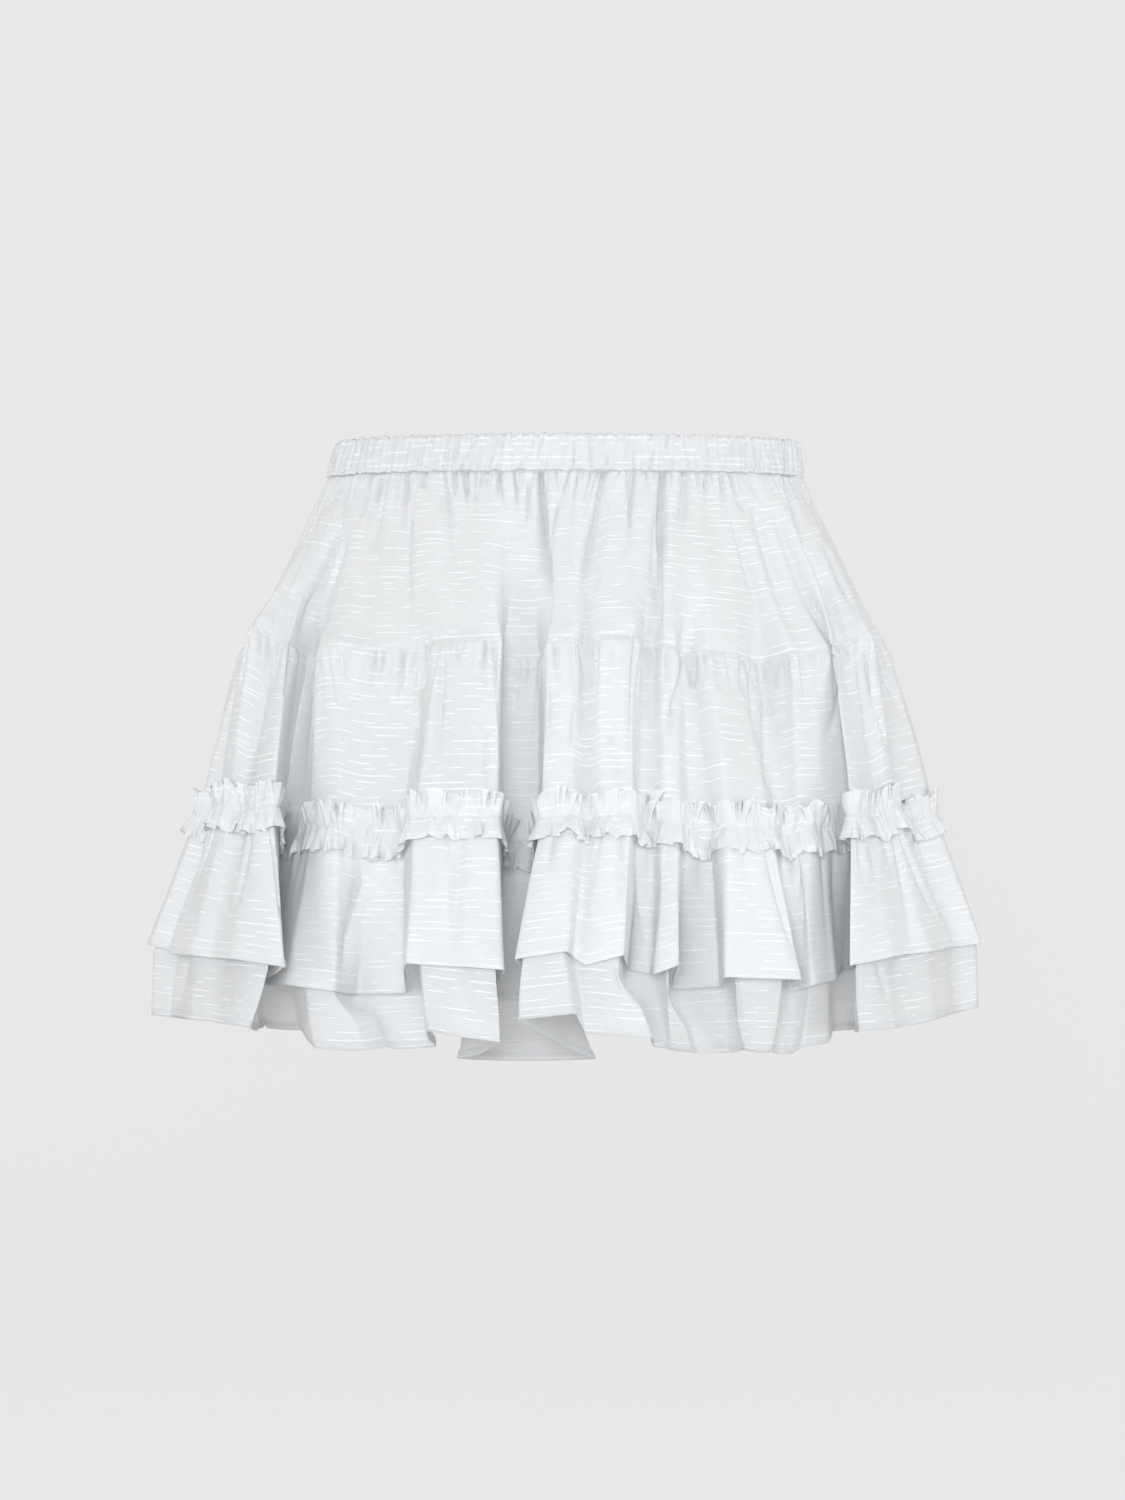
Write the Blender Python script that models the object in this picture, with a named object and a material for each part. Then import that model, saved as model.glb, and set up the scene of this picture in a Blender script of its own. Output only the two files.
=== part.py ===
"""Tiered ruffle skirt, standing open as it hangs on a general figure.

Metres, +Z up.  The origin is the middle of the waist opening, half way up the
waistband; the front faces -Y.  Ten cloth pieces: an elastic waistband casing,
two gathered tiers, two hem ruffles (the upper one lies over the longer lower
one), each with a front and a back panel, and one gathered strip sewn over the
top of the ruffles.

Every horizontal ring of the skirt is a closed spline through the corners of its
folds.  A thread of cloth runs down from ring to ring and keeps its length, so a
fold that stands out further also rides higher.
"""
import math
from collections import namedtuple

import bpy
import numpy as np

# ---- sizes in metres ------------------------------------------------------
WAIST_HALF_WIDTH = 0.140
WAIST_HALF_DEPTH = 0.104
BAND_HEIGHT = 0.021
BAND_WALL = 0.003
CLOTH_WALL = 0.0012
SEAM_GAP = 0.0003            # between neighbouring pieces at a seam
TIER_UPPER_LENGTH = 0.113    # lengths along the cloth, top edge to bottom edge
TIER_MIDDLE_LENGTH = 0.104
RUFFLE_UPPER_LENGTH = 0.082
RUFFLE_LOWER_LENGTH = 0.116
TRIM_HEIGHT = 0.028

# how the cloth hangs
FLARE_EASE = 0.40            # the tiers leave the waist flatter than they reach the trim
CORNER_PULL = 0.12           # draws the ring splines out towards their corners
NEST_TOP = CLOTH_WALL + SEAM_GAP     # lower ruffle behind the upper one, at the seam
NEST_HEM = 0.0060            # and at the upper ruffle's hem
NEST_LEAST = 0.0049          # nearest it may come when it swings to its own folds
SWING_START = 0.038          # cloth length at which the lower ruffle leaves the upper one's folds
SWING_POWER = 1.5
SWING_ROUNDS = 3
MITRE_LIMIT = 1.7            # longest offset at a sharp bend, in wall offsets
STEEPEST_LEVEL = 0.25        # least drop of a thread, as a share of its length

# gathers: one every four columns of the grid
COLUMNS = 192
GATHER_COLUMNS = 4
BAND_GATHER = 0.0008         # depth of the puckers in the waistband
WAIST_GATHER = 0.0014        # in the cloth just below it
TIER_GATHER = 0.0011         # at the top of the middle tier
GATHER_FADE = 0.026
TRIM_LIFT = 0.0046           # how far the strip's two frilled edges stand off
TRIM_LIFT_WAVE = 0.45
TRIM_EDGE_WAVE = 0.0014      # up and down along its edges
TRIM_LIFT_LEAST = 0.0007
TRIM_CLEAR = 0.0032          # kept free on each side where two folds face each other

# rows of the grid, as lengths of cloth below a piece's top edge
TIER_UPPER_ROWS = (0.0, 0.038, 0.076, TIER_UPPER_LENGTH)
TIER_MIDDLE_ROWS = (0.0, 0.045, TIER_MIDDLE_LENGTH - TRIM_HEIGHT / 2, TIER_MIDDLE_LENGTH)
RUFFLE_UPPER_ROWS = (0.0, TRIM_HEIGHT / 2, 0.048, RUFFLE_UPPER_LENGTH)
RUFFLE_LOWER_ROWS = RUFFLE_UPPER_ROWS + (RUFFLE_LOWER_LENGTH,)
TIER_SEAM = len(TIER_UPPER_ROWS) - 1                 # row numbers counted from the waist
TRIM_SEAM = TIER_SEAM + len(TIER_MIDDLE_ROWS) - 1
DENSE = 24                   # samples between two corners before columns are shared out
BEND_WEIGHT = 0.020          # a full radian of bend counts as this length
FOLD_APART = 0.030           # cloth further than this along a ring is another fold
FAR_AWAY = 1.0
DOWN = (0.0, 0.0, -1.0)
ROOM_SHARED = 3              # columns that share the least room among them

MM = 0.001

# ---- plain colours, linear ---------------------------------------------------
CLOTH_ROUGHNESS = 0.9
WHITES = {
    "waistband": (0.86, 0.87, 0.88),
    "tier_upper": (0.87, 0.88, 0.89),
    "tier_middle": (0.86, 0.87, 0.89),
    "ruffle_upper": (0.88, 0.89, 0.90),
    "ruffle_lower": (0.85, 0.86, 0.88),
    "trim": (0.88, 0.89, 0.90),
}

# ---- folds ----------------------------------------------------------------
# One row per fold, anticlockwise seen from above, starting at the left side.
# Angles in degrees from the front centre towards +X; reaches in millimetres from
# the axis.  A fold has a left and a right corner on each of three rings: the
# trim seam, the upper ruffle's hem and the lower ruffle's hem.
FrontFold = namedtuple("FrontFold", (
    "name", "waist_at", "trim_left", "trim_right", "trim_reach",
    "upper_left", "upper_right", "upper_reach",
    "lower_left", "lower_right", "lower_reach"))
FRONT_FOLDS = [FrontFold(*row) for row in (
    ("side ridge left", -85, -87, -80, 219, -90, -82, 250, -89, -82, 246),
    ("side groove left", -77, -76, -73.5, 211, -78, -75, 234, -77, -74.5, 236),
    ("first ridge, outer half", -71, -69, -61, 219, -71, -60, 243, -71, -60, 243),
    ("first ridge, groove", -66, -57.5, -55.5, 215, -56, -54, 236, -56, -54, 239),
    ("first ridge, inner half", -61, -53, -47, 219, -49, -38, 242, -50, -45, 242),
    ("left valley", -56, -60.5, -54, 181, -65, -57.3, 191, -67.5, -58.5, 188),
    ("second ridge", -52, -47.5, -41, 191, -47, -39, 211, -43, -32.5, 205),
    ("recess left", -46, -36, -29, 179, -35.5, -27, 187.5, -29.5, -22.5, 186),
    ("third ridge", -33, -23.5, -10, 206, -18.5, -5.9, 251, -16.5, -7, 252),
    ("middle valley", -7.5, -14, -5, 137, -15.5, -3, 157, -22, 7, 158),
    ("fourth ridge, left half", -1, -3.7, 1.4, 206, -6.3, 0.2, 255, -5.8, 0.6, 256),
    ("fourth ridge, groove", 11, 2.9, 4.2, 200, 1.0, 1.9, 244, 1.8, 2.7, 244),
    ("fourth ridge, right half", 21, 5.4, 10.2, 204, 3.2, 8.4, 248, 4.2, 10.8, 247),
    ("narrow valley", 29, 12.2, 14.6, 183, 10.4, 12.4, 207, 13.2, 15.2, 207),
    ("fifth ridge", 33, 15.6, 18.2, 192, 12, 15.8, 237, 16.6, 19.2, 217),
    ("recess right", 38, 20.5, 25, 182, 20.2, 26, 188, 21.5, 26.5, 188),
    ("sixth ridge", 44.5, 26.5, 35, 198, 22.8, 34.3, 226, 27, 32, 215),
    ("sixth groove", 51, 38, 40, 187, 38, 40, 203, 36.5, 38.5, 199),
    ("seventh ridge", 57.5, 41.5, 46.5, 194, 41, 44.3, 216, 38.5, 43.5, 210),
    ("right valley", 63, 52.5, 61.5, 176, 54, 63, 182, 54, 63, 180),
    ("eighth ridge, inner half", 67, 47.5, 53, 215, 40.5, 48.5, 241, 40.3, 49, 243),
    ("eighth ridge, groove", 70, 56.5, 58.5, 213, 51.7, 53.7, 237, 52.3, 54.3, 240),
    ("eighth ridge, outer half", 74, 61.5, 67, 217, 57.5, 67, 242, 58, 68, 243),
    ("side groove right", 79, 71, 73.5, 209, 71, 74, 231, 71, 74, 233),
    ("side ridge right", 86, 79, 86, 220, 79, 87, 250, 79, 87, 246),
)]
# The back repeats the same kind of folds, uneven and evenly nested: each keeps its
# angle down the skirt.  Width is the angle between the two corners at the hem.
BackFold = namedtuple("BackFold", (
    "name", "at", "width", "trim_reach", "upper_reach", "lower_reach"))
TRIM_WIDTH_SHARE = 0.8
BACK_FOLDS = [BackFold(*row) for row in (
    ("back groove 1", 94, 2.5, 199, 216, 218),
    ("back ridge 1", 103, 7, 214, 246, 244),
    ("back valley 1", 114, 5, 172, 182, 180),
    ("back ridge 2", 125, 12, 208, 246, 247),
    ("back groove 2", 137, 4, 186, 204, 207),
    ("back ridge 3", 147, 9, 203, 238, 236),
    ("back valley 2", 158, 6, 163, 174, 172),
    ("back ridge 4", 170, 13, 206, 250, 252),
    ("back groove 3", 182, 4, 187, 213, 211),
    ("back ridge 5", 192.5, 9, 200, 238, 241),
    ("back valley 3", 204, 7, 162, 171, 167),
    ("back ridge 6", 216, 12, 207, 248, 248),
    ("back groove 4", 228, 4.5, 187, 201, 205),
    ("back ridge 7", 239, 10, 212, 240, 242),
    ("back valley 4", 249.5, 5, 179, 191, 188),
    ("back ridge 8", 259, 7, 214, 244, 244),
    ("back groove 5", 266, 3, 203, 220, 222),
)]


# ---- rings ----------------------------------------------------------------
def at_angle(degrees, reach):
    """Point at an angle from the front centre and a distance from the axis."""
    turn = math.radians(degrees)
    return reach * math.sin(turn), -reach * math.cos(turn)


def waist_reach(degrees):
    """Distance from the axis to the waist ellipse."""
    turn = math.radians(degrees)
    return (WAIST_HALF_WIDTH * WAIST_HALF_DEPTH
            / math.hypot(WAIST_HALF_DEPTH * math.sin(turn), WAIST_HALF_WIDTH * math.cos(turn)))


def corner_rings():
    """Corners of all folds on the trim seam and on both hems, in metres."""
    trim, upper, lower = [], [], []
    for fold in FRONT_FOLDS:
        for side in ("left", "right"):
            for ring, label in ((trim, "trim"), (upper, "upper"), (lower, "lower")):
                angle = getattr(fold, label + "_" + side)
                ring.append(at_angle(angle, getattr(fold, label + "_reach") * MM))
    for fold in BACK_FOLDS:
        for side in (-0.5, 0.5):
            half = side * fold.width
            trim.append(at_angle(fold.at + half * TRIM_WIDTH_SHARE, fold.trim_reach * MM))
            upper.append(at_angle(fold.at + half, fold.upper_reach * MM))
            lower.append(at_angle(fold.at + half, fold.lower_reach * MM))
    return np.array(trim), np.array(upper), np.array(lower)


def waist_corners():
    """Two points per fold on the waist ellipse, a quarter of the way to its neighbours."""
    angles = np.array([fold.waist_at for fold in FRONT_FOLDS] + [fold.at for fold in BACK_FOLDS])
    before = np.roll(angles, 1)
    before[0] -= 360.0
    after = np.roll(angles, -1)
    after[-1] += 360.0
    points = []
    for at, last, following in zip(angles, before, after):
        for angle in (at - (at - last) / 4, at + (following - at) / 4):
            points.append(at_angle(angle, waist_reach(angle)))
    return np.array(points)


def closed_spline(corners, steps):
    """Uniform cubic spline round the corners, drawn out a little towards them."""
    corners = corners - CORNER_PULL * (
        np.roll(corners, 1, 0) + np.roll(corners, -1, 0) - 2 * corners)
    t = np.arange(steps) / steps
    weights = np.stack([(1 - t) ** 3, 3 * t ** 3 - 6 * t ** 2 + 4,
                        -3 * t ** 3 + 3 * t ** 2 + 3 * t + 1, t ** 3], 1) / 6
    around = [np.roll(corners, 1 - k, 0) for k in range(4)]
    return np.einsum("sk,kcd->csd", weights, np.array(around)).reshape(-1, 2)


def share_out(rings, count):
    """Column numbers that split length and bend of the rings evenly."""
    weight = np.zeros(len(rings[0]))
    for ring in rings:
        step = np.roll(ring, -1, 0) - ring
        heading = np.arctan2(step[:, 1], step[:, 0])
        bend = np.abs((np.diff(heading, append=heading[0]) + math.pi) % (2 * math.pi) - math.pi)
        weight += np.linalg.norm(step, axis=1) + BEND_WEIGHT * bend
    travelled = np.concatenate([[0.0], np.cumsum(weight)])
    wanted = np.linspace(0.0, travelled[-1], count, endpoint=False)
    return np.searchsorted(travelled, wanted).clip(0, len(weight) - 1)


def inward(ring):
    """Unit vectors pointing into a ring that runs anticlockwise seen from above."""
    along = np.roll(ring, -1, 0) - np.roll(ring, 1, 0)
    along /= np.linalg.norm(along, axis=1)[:, None]
    return np.column_stack([-along[:, 1], along[:, 0]])


def keep_inside(points, ring, gap):
    """Move points so that they lie at least the gap inside a ring."""
    edge = np.roll(ring, -1, 0) - ring
    share = ((points[:, None] - ring) * edge).sum(2) / (edge ** 2).sum(1)
    nearest = ring + edge * np.clip(share, 0, 1)[:, :, None]
    distance = np.linalg.norm(points[:, None] - nearest, axis=2)
    pick = distance.argmin(1)
    rows = np.arange(len(points))
    edge_unit = edge[pick] / np.linalg.norm(edge[pick], axis=1)[:, None]
    into = np.column_stack([-edge_unit[:, 1], edge_unit[:, 0]])
    side = np.sign(((points - nearest[rows, pick]) * into).sum(1))
    return points + into * np.maximum(gap - side * distance[rows, pick], 0)[:, None]


# ---- threads hanging from ring to ring --------------------------------------
def hang(levels, top, lengths):
    """Heights of each level when every thread keeps its length between levels."""
    heights = [top]
    for above, below, length in zip(levels[:-1], levels[1:], lengths):
        travel = ((below - above) ** 2).sum(1)
        drop = np.sqrt(np.maximum(length ** 2 - travel, (STEEPEST_LEVEL * length) ** 2))
        heights.append(heights[-1] - drop)
    return np.array([np.column_stack([ring, height]) for ring, height in zip(levels, heights)])


def outward_normals(grid):
    """Normals of a closed grid, pointing away from the hollow.

    They are as long as the mitre of the bend they stand on, so a surface set off
    along them keeps its distance to the faces and not just to the corners.
    """
    before = grid - np.roll(grid, 1, 1)
    after = np.roll(before, -1, 1)
    before, after = (step / np.linalg.norm(step, axis=2)[:, :, None] for step in (before, after))
    normal = np.cross(np.gradient(grid, axis=0), before + after)
    normal /= np.linalg.norm(normal, axis=2)[:, :, None]
    half_turn = np.arccos(np.clip((before * after).sum(2), -1, 1)) / 2
    return normal * np.minimum(1 / np.cos(half_turn), MITRE_LIMIT)[:, :, None]


def gather(depth, distance, phase=0.0):
    """Small waves round the skirt that fade with the distance below a seam."""
    wave = np.cos(2 * math.pi * (np.arange(COLUMNS) + phase) / GATHER_COLUMNS)
    return depth * math.exp(-distance / GATHER_FADE) * wave


def room_outside(ring):
    """Free distance in front of each point of a ring to another fold facing it."""
    step = np.linalg.norm(np.roll(ring, -1, 0) - ring, axis=1)
    place = np.concatenate([[0.0], np.cumsum(step)[:-1]])
    apart = np.abs(place[:, None] - place)
    apart = np.minimum(apart, step.sum() - apart)
    offset = ring[None] - ring[:, None]
    outward = -inward(ring)
    facing = (offset * outward[:, None]).sum(2) > 0
    opposed = outward @ outward.T < 0
    distance = np.linalg.norm(offset, axis=2)
    distance[~(facing & (opposed | (apart > FOLD_APART)))] = FAR_AWAY
    free = distance.min(1)
    return np.min([np.roll(free, shift) for shift in range(-ROOM_SHARED, ROOM_SHARED + 1)], 0)


def skirt_grids():
    """Middle surfaces (rows, COLUMNS, 3) and normals of all layers."""
    trim, upper, lower = (closed_spline(ring, DENSE) for ring in corner_rings())
    waist = closed_spline(waist_corners(), DENSE)
    pick = share_out((waist, trim, upper, lower), COLUMNS)
    waist, trim, upper, lower = waist[pick], trim[pick], upper[pick], lower[pick]

    down = np.concatenate([TIER_UPPER_ROWS, TIER_UPPER_LENGTH + np.array(TIER_MIDDLE_ROWS[1:])])
    share = down / down[-1]
    eased = share + FLARE_EASE * share * (1 - share)
    tiers = hang([waist + (trim - waist) * part for part in eased],
                 np.full(COLUMNS, -BAND_HEIGHT / 2), np.diff(down))

    shares = np.array(RUFFLE_UPPER_ROWS) / RUFFLE_UPPER_LENGTH
    over = hang([trim + (upper - trim) * part for part in shares], tiers[-1][:, 2],
                np.diff(RUFFLE_UPPER_ROWS))
    outer = np.concatenate([tiers, over[1:]])
    normals = outward_normals(outer)
    normals[0] = outward_normals(np.array([outer[0], outer[0] + DOWN]))[0]   # level at the band

    # the lower ruffle follows the upper one from inside, then swings to its own hem
    nest = NEST_TOP + (NEST_HEM - NEST_TOP) * shares
    nested = over - normals[TRIM_SEAM:] * nest[:, None, None]
    rings = []
    for run, level, cover in zip(RUFFLE_UPPER_ROWS, nested, over):
        swing = max(0.0, (run - SWING_START) / (RUFFLE_LOWER_LENGTH - SWING_START))
        ring = level[:, :2] + (lower - nested[-1][:, :2]) * swing ** SWING_POWER
        for _ in range(SWING_ROUNDS if swing else 0):
            ring = keep_inside(ring, cover[:, :2], NEST_LEAST)
        rings.append(ring)
    under = hang(rings + [lower], nested[0][:, 2], np.diff(RUFFLE_LOWER_ROWS))
    return outer, normals, under


# ---- solids -----------------------------------------------------------------
def moved_along(grid, row, other_row, distance):
    """Row of a grid moved a short distance towards another of its rows."""
    step = grid[other_row] - grid[row]
    return grid[row] + step * (distance / np.linalg.norm(step, axis=1))[:, None]


def cut_piece(grid, first, last):
    """Rows first to last of a grid, drawn back half a seam gap at both edges."""
    piece = grid[first:last + 1].copy()
    piece[0] = moved_along(grid, first, first + 1, SEAM_GAP / 2)
    piece[-1] = moved_along(grid, last, last - 1, SEAM_GAP / 2)
    return piece


def add_solid(name, middle, normals, wall, closed, white):
    """Closed body of the given wall thickness round a middle surface."""
    rows, columns, _ = middle.shape
    outside = middle + normals * (wall / 2)
    inside = middle - normals * (wall / 2)
    vertices = np.concatenate([outside.reshape(-1, 3), inside.reshape(-1, 3)])
    inner = rows * columns

    def vertex(row, column, layer):
        return layer * inner + row * columns + column % columns

    faces = []
    span = columns if closed else columns - 1
    for row in range(rows - 1):
        for column in range(span):
            a, b = vertex(row, column, 0), vertex(row, column + 1, 0)
            c, d = vertex(row + 1, column + 1, 0), vertex(row + 1, column, 0)
            faces += [(a, d, b), (b, d, c)]
            faces += [(a + inner, b + inner, d + inner), (b + inner, c + inner, d + inner)]
    for column in range(span):
        for row, turned in ((0, False), (rows - 1, True)):
            a, b = vertex(row, column, 0), vertex(row, column + 1, 0)
            quad = (a, b, b + inner, a + inner)
            faces += quad_triangles(quad[::-1] if turned else quad)
    if not closed:
        for row in range(rows - 1):
            for column, turned in ((0, True), (columns - 1, False)):
                a, b = vertex(row, column, 0), vertex(row + 1, column, 0)
                quad = (a, b, b + inner, a + inner)
                faces += quad_triangles(quad[::-1] if turned else quad)

    mesh = bpy.data.meshes.new(name)
    mesh.from_pydata([tuple(point) for point in vertices], [], faces)
    mesh.update()
    piece = bpy.data.objects.new(name, mesh)
    bpy.context.scene.collection.objects.link(piece)
    material = bpy.data.materials.new(name + "_cotton")
    material.use_nodes = True
    shader = material.node_tree.nodes["Principled BSDF"]
    shader.inputs["Base Color"].default_value = (*white, 1.0)
    shader.inputs["Roughness"].default_value = CLOTH_ROUGHNESS
    mesh.materials.append(material)
    return piece


def quad_triangles(quad):
    """Two triangles of a four-cornered face."""
    a, b, c, d = quad
    return [(a, b, c), (a, c, d)]


def add_panels(name, middle, normals, side_columns):
    """Front and back panel of one layer, parted by a seam gap at both sides."""
    right, left = side_columns
    for label, columns in (("front", np.arange(left, right + COLUMNS + 1) % COLUMNS),
                           ("back", np.arange(right, left + 1))):
        panel = middle[:, columns].copy()
        for edge, neighbour in ((0, 1), (-1, -2)):
            step = panel[:, neighbour] - panel[:, edge]
            reach = np.linalg.norm(step, axis=1)[:, None]
            panel[:, edge] += step * (SEAM_GAP / 2) / reach
        add_solid(name + "_" + label, panel, normals[:, columns], CLOTH_WALL, False, WHITES[name])


def add_waistband(outer, normals):
    """Elastic casing standing on the top edge of the tiers, with its puckers."""
    ring = outer[0][:, :2] - inward(outer[0][:, :2]) * gather(BAND_GATHER, 0.0)[:, None]
    half = (BAND_HEIGHT - SEAM_GAP) / 2
    middle = np.array([np.column_stack([ring, np.full(COLUMNS, height)])
                       for height in (half, -half)])
    add_solid("waistband", middle, np.repeat(normals[:1], 2, 0), BAND_WALL, True,
              WHITES["waistband"])


def add_trim(outer, normals):
    """Gathered strip sewn along its middle over the seam, both edges frilled."""
    base = outer[TRIM_SEAM - 1:TRIM_SEAM + 2]
    facing = normals[TRIM_SEAM - 1:TRIM_SEAM + 2]
    room = np.min([room_outside(ring[:, :2]) for ring in base], 0)
    lift = np.clip(room / 2 - TRIM_CLEAR, TRIM_LIFT_LEAST, TRIM_LIFT)
    sewn = CLOTH_WALL + SEAM_GAP
    middle = base + facing * sewn
    for row, phase, upwards in ((0, 0.0, 1.0), (2, 1.0, -1.0)):
        wave = gather(1.0, 0.0, phase)
        middle[row] += facing[row] * (lift * (1 + TRIM_LIFT_WAVE * wave))[:, None]
        middle[row][:, 2] += upwards * TRIM_EDGE_WAVE * wave * lift / TRIM_LIFT
    add_solid("trim", middle, facing, CLOTH_WALL, True, WHITES["trim"])


def build_skirt():
    """All ten pieces."""
    for old in list(bpy.data.objects):
        bpy.data.objects.remove(old)
    outer, normals, under = skirt_grids()
    angles = np.arctan2(outer[TRIM_SEAM][:, 0], -outer[TRIM_SEAM][:, 1])
    side_columns = (int(np.abs(angles - math.pi / 2).argmin()),
                    int(np.abs(angles + math.pi / 2).argmin()))
    add_waistband(outer, normals)
    for name, first, last, rows, depth in (
            ("tier_upper", 0, TIER_SEAM, TIER_UPPER_ROWS, WAIST_GATHER),
            ("tier_middle", TIER_SEAM, TRIM_SEAM, TIER_MIDDLE_ROWS, TIER_GATHER),
            ("ruffle_upper", TRIM_SEAM, len(outer) - 1, RUFFLE_UPPER_ROWS, 0.0)):
        piece = cut_piece(outer, first, last)
        facing = normals[first:last + 1]
        for row in range(last - first):
            piece[row] += facing[row] * gather(depth, rows[row])[:, None]
        add_panels(name, piece, facing, side_columns)
    facing = outward_normals(under)
    facing[0] = normals[TRIM_SEAM]
    add_panels("ruffle_lower", cut_piece(under, 0, len(under) - 1), facing, side_columns)
    add_trim(outer, normals)


build_skirt()
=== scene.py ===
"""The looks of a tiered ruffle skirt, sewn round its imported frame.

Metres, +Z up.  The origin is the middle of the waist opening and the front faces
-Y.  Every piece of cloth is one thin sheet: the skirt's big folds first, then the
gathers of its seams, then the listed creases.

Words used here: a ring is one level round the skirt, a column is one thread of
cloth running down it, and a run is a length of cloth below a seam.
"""
import math
from collections import namedtuple

import bpy
import numpy as np
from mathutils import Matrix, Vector


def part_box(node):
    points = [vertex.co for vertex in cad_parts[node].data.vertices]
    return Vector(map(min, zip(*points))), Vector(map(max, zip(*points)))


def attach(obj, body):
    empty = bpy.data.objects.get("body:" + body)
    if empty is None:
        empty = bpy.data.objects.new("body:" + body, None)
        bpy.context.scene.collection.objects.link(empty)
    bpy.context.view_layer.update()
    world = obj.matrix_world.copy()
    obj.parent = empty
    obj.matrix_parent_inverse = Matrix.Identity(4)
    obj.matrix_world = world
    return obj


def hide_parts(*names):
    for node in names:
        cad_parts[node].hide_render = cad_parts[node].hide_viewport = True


bl_info = {
    "name": "Tiered ruffle skirt",
    "version": (1, 0, 0),
    "blender": (4, 5, 0),
    "location": "3D View > Sidebar > Skirt",
    "description": "Sews a gathered cotton skirt with two ruffles round its packed frame",
    "category": "Object",
}

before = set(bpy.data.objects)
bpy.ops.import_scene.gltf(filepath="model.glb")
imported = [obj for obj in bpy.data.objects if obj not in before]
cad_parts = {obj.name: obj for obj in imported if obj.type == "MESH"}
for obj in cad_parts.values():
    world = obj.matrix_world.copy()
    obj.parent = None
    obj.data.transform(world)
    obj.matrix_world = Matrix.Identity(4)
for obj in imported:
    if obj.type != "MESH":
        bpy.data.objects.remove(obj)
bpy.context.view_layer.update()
MM = 0.001

# ---- sizes in metres ----
BAND_LOW, BAND_HIGH = (corner.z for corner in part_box("waistband"))
WAIST_SEAM = BAND_LOW
WAIST_HALF_WIDTH = 0.140
WAIST_HALF_DEPTH = 0.104
UPPER_EASE = 0.18            # each tier leaves its top flatter than it reaches its lower edge
MIDDLE_EASE = 0.24
SEAM_SHARE = 0.62            # reach of the back's folds at the tiers' seam, waist 0, strip 1
CORNER_PULL = 0.15           # draws each ring out towards the corners of its folds
CRISPNESS = {"waist": 0.0, "tier": 0.6, "strip": 0.7, "upper": 0.85, "lower": 0.8}
CALM_WAVES = 7               # round the skirt, in the part of the tiers' seam ring that is not folds
FOLDS_GROW = 3.1             # how late the folds come out of the waist
CORNER_STEPS = 48            # samples between two corners
CORNER_ROUNDS = 3            # how often a ring's corners are evened out
WAIST_WEIGHT = 3.0           # the waist's say in how closely the columns stand, each ring 1
STEEPEST_LEVEL = 0.25        # least drop of a column, as a share of its length

COLUMNS = 1900               # in a tier or ruffle
STRIP_COLUMNS = 3400         # in the frilled strip
FINE_ROWS, COARSE_ROWS = 0.0015, 0.0026      # spacing of a tier's rows near its top seam and below
CLOTH_SWELL = 0.0009         # how uneven tiers and ruffles are
BAND_COLUMNS = 1650
BAND_SWELL = 0.0004          # how uneven its faces are
BAND_SCALLOP = 0.0007        # how far the elastic lifts its top edge
BAND_PULL = 0.0006           # how far the gathers pull at its lower edge
BAND_FLARE = 0.0042          # how much further out its lower edge lies than its top
BAND_INSET = 0.0012
BAND_LEAN = 0.0020           # how far its top hangs to the right
SIDE_SEAM_DEPTH = 0.0006
SIDE_SEAM_WIDTH = 0.0012

# the lower ruffle behind the upper one
NEST_TOP = 0.0016
NEST_HEM = 0.0060
NEST_LEAST = 0.0042
SWING_START = 0.038          # run at which it leaves the upper ruffle's folds
SWING_POWER = 1.5
RELAX_ROUNDS = 10
HEM_SAG = 0.2                # share of the unevenness that the ruffles' hems keep
NEAR_COLUMNS = 107           # columns to each side in which it looks for the upper ruffle

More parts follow.
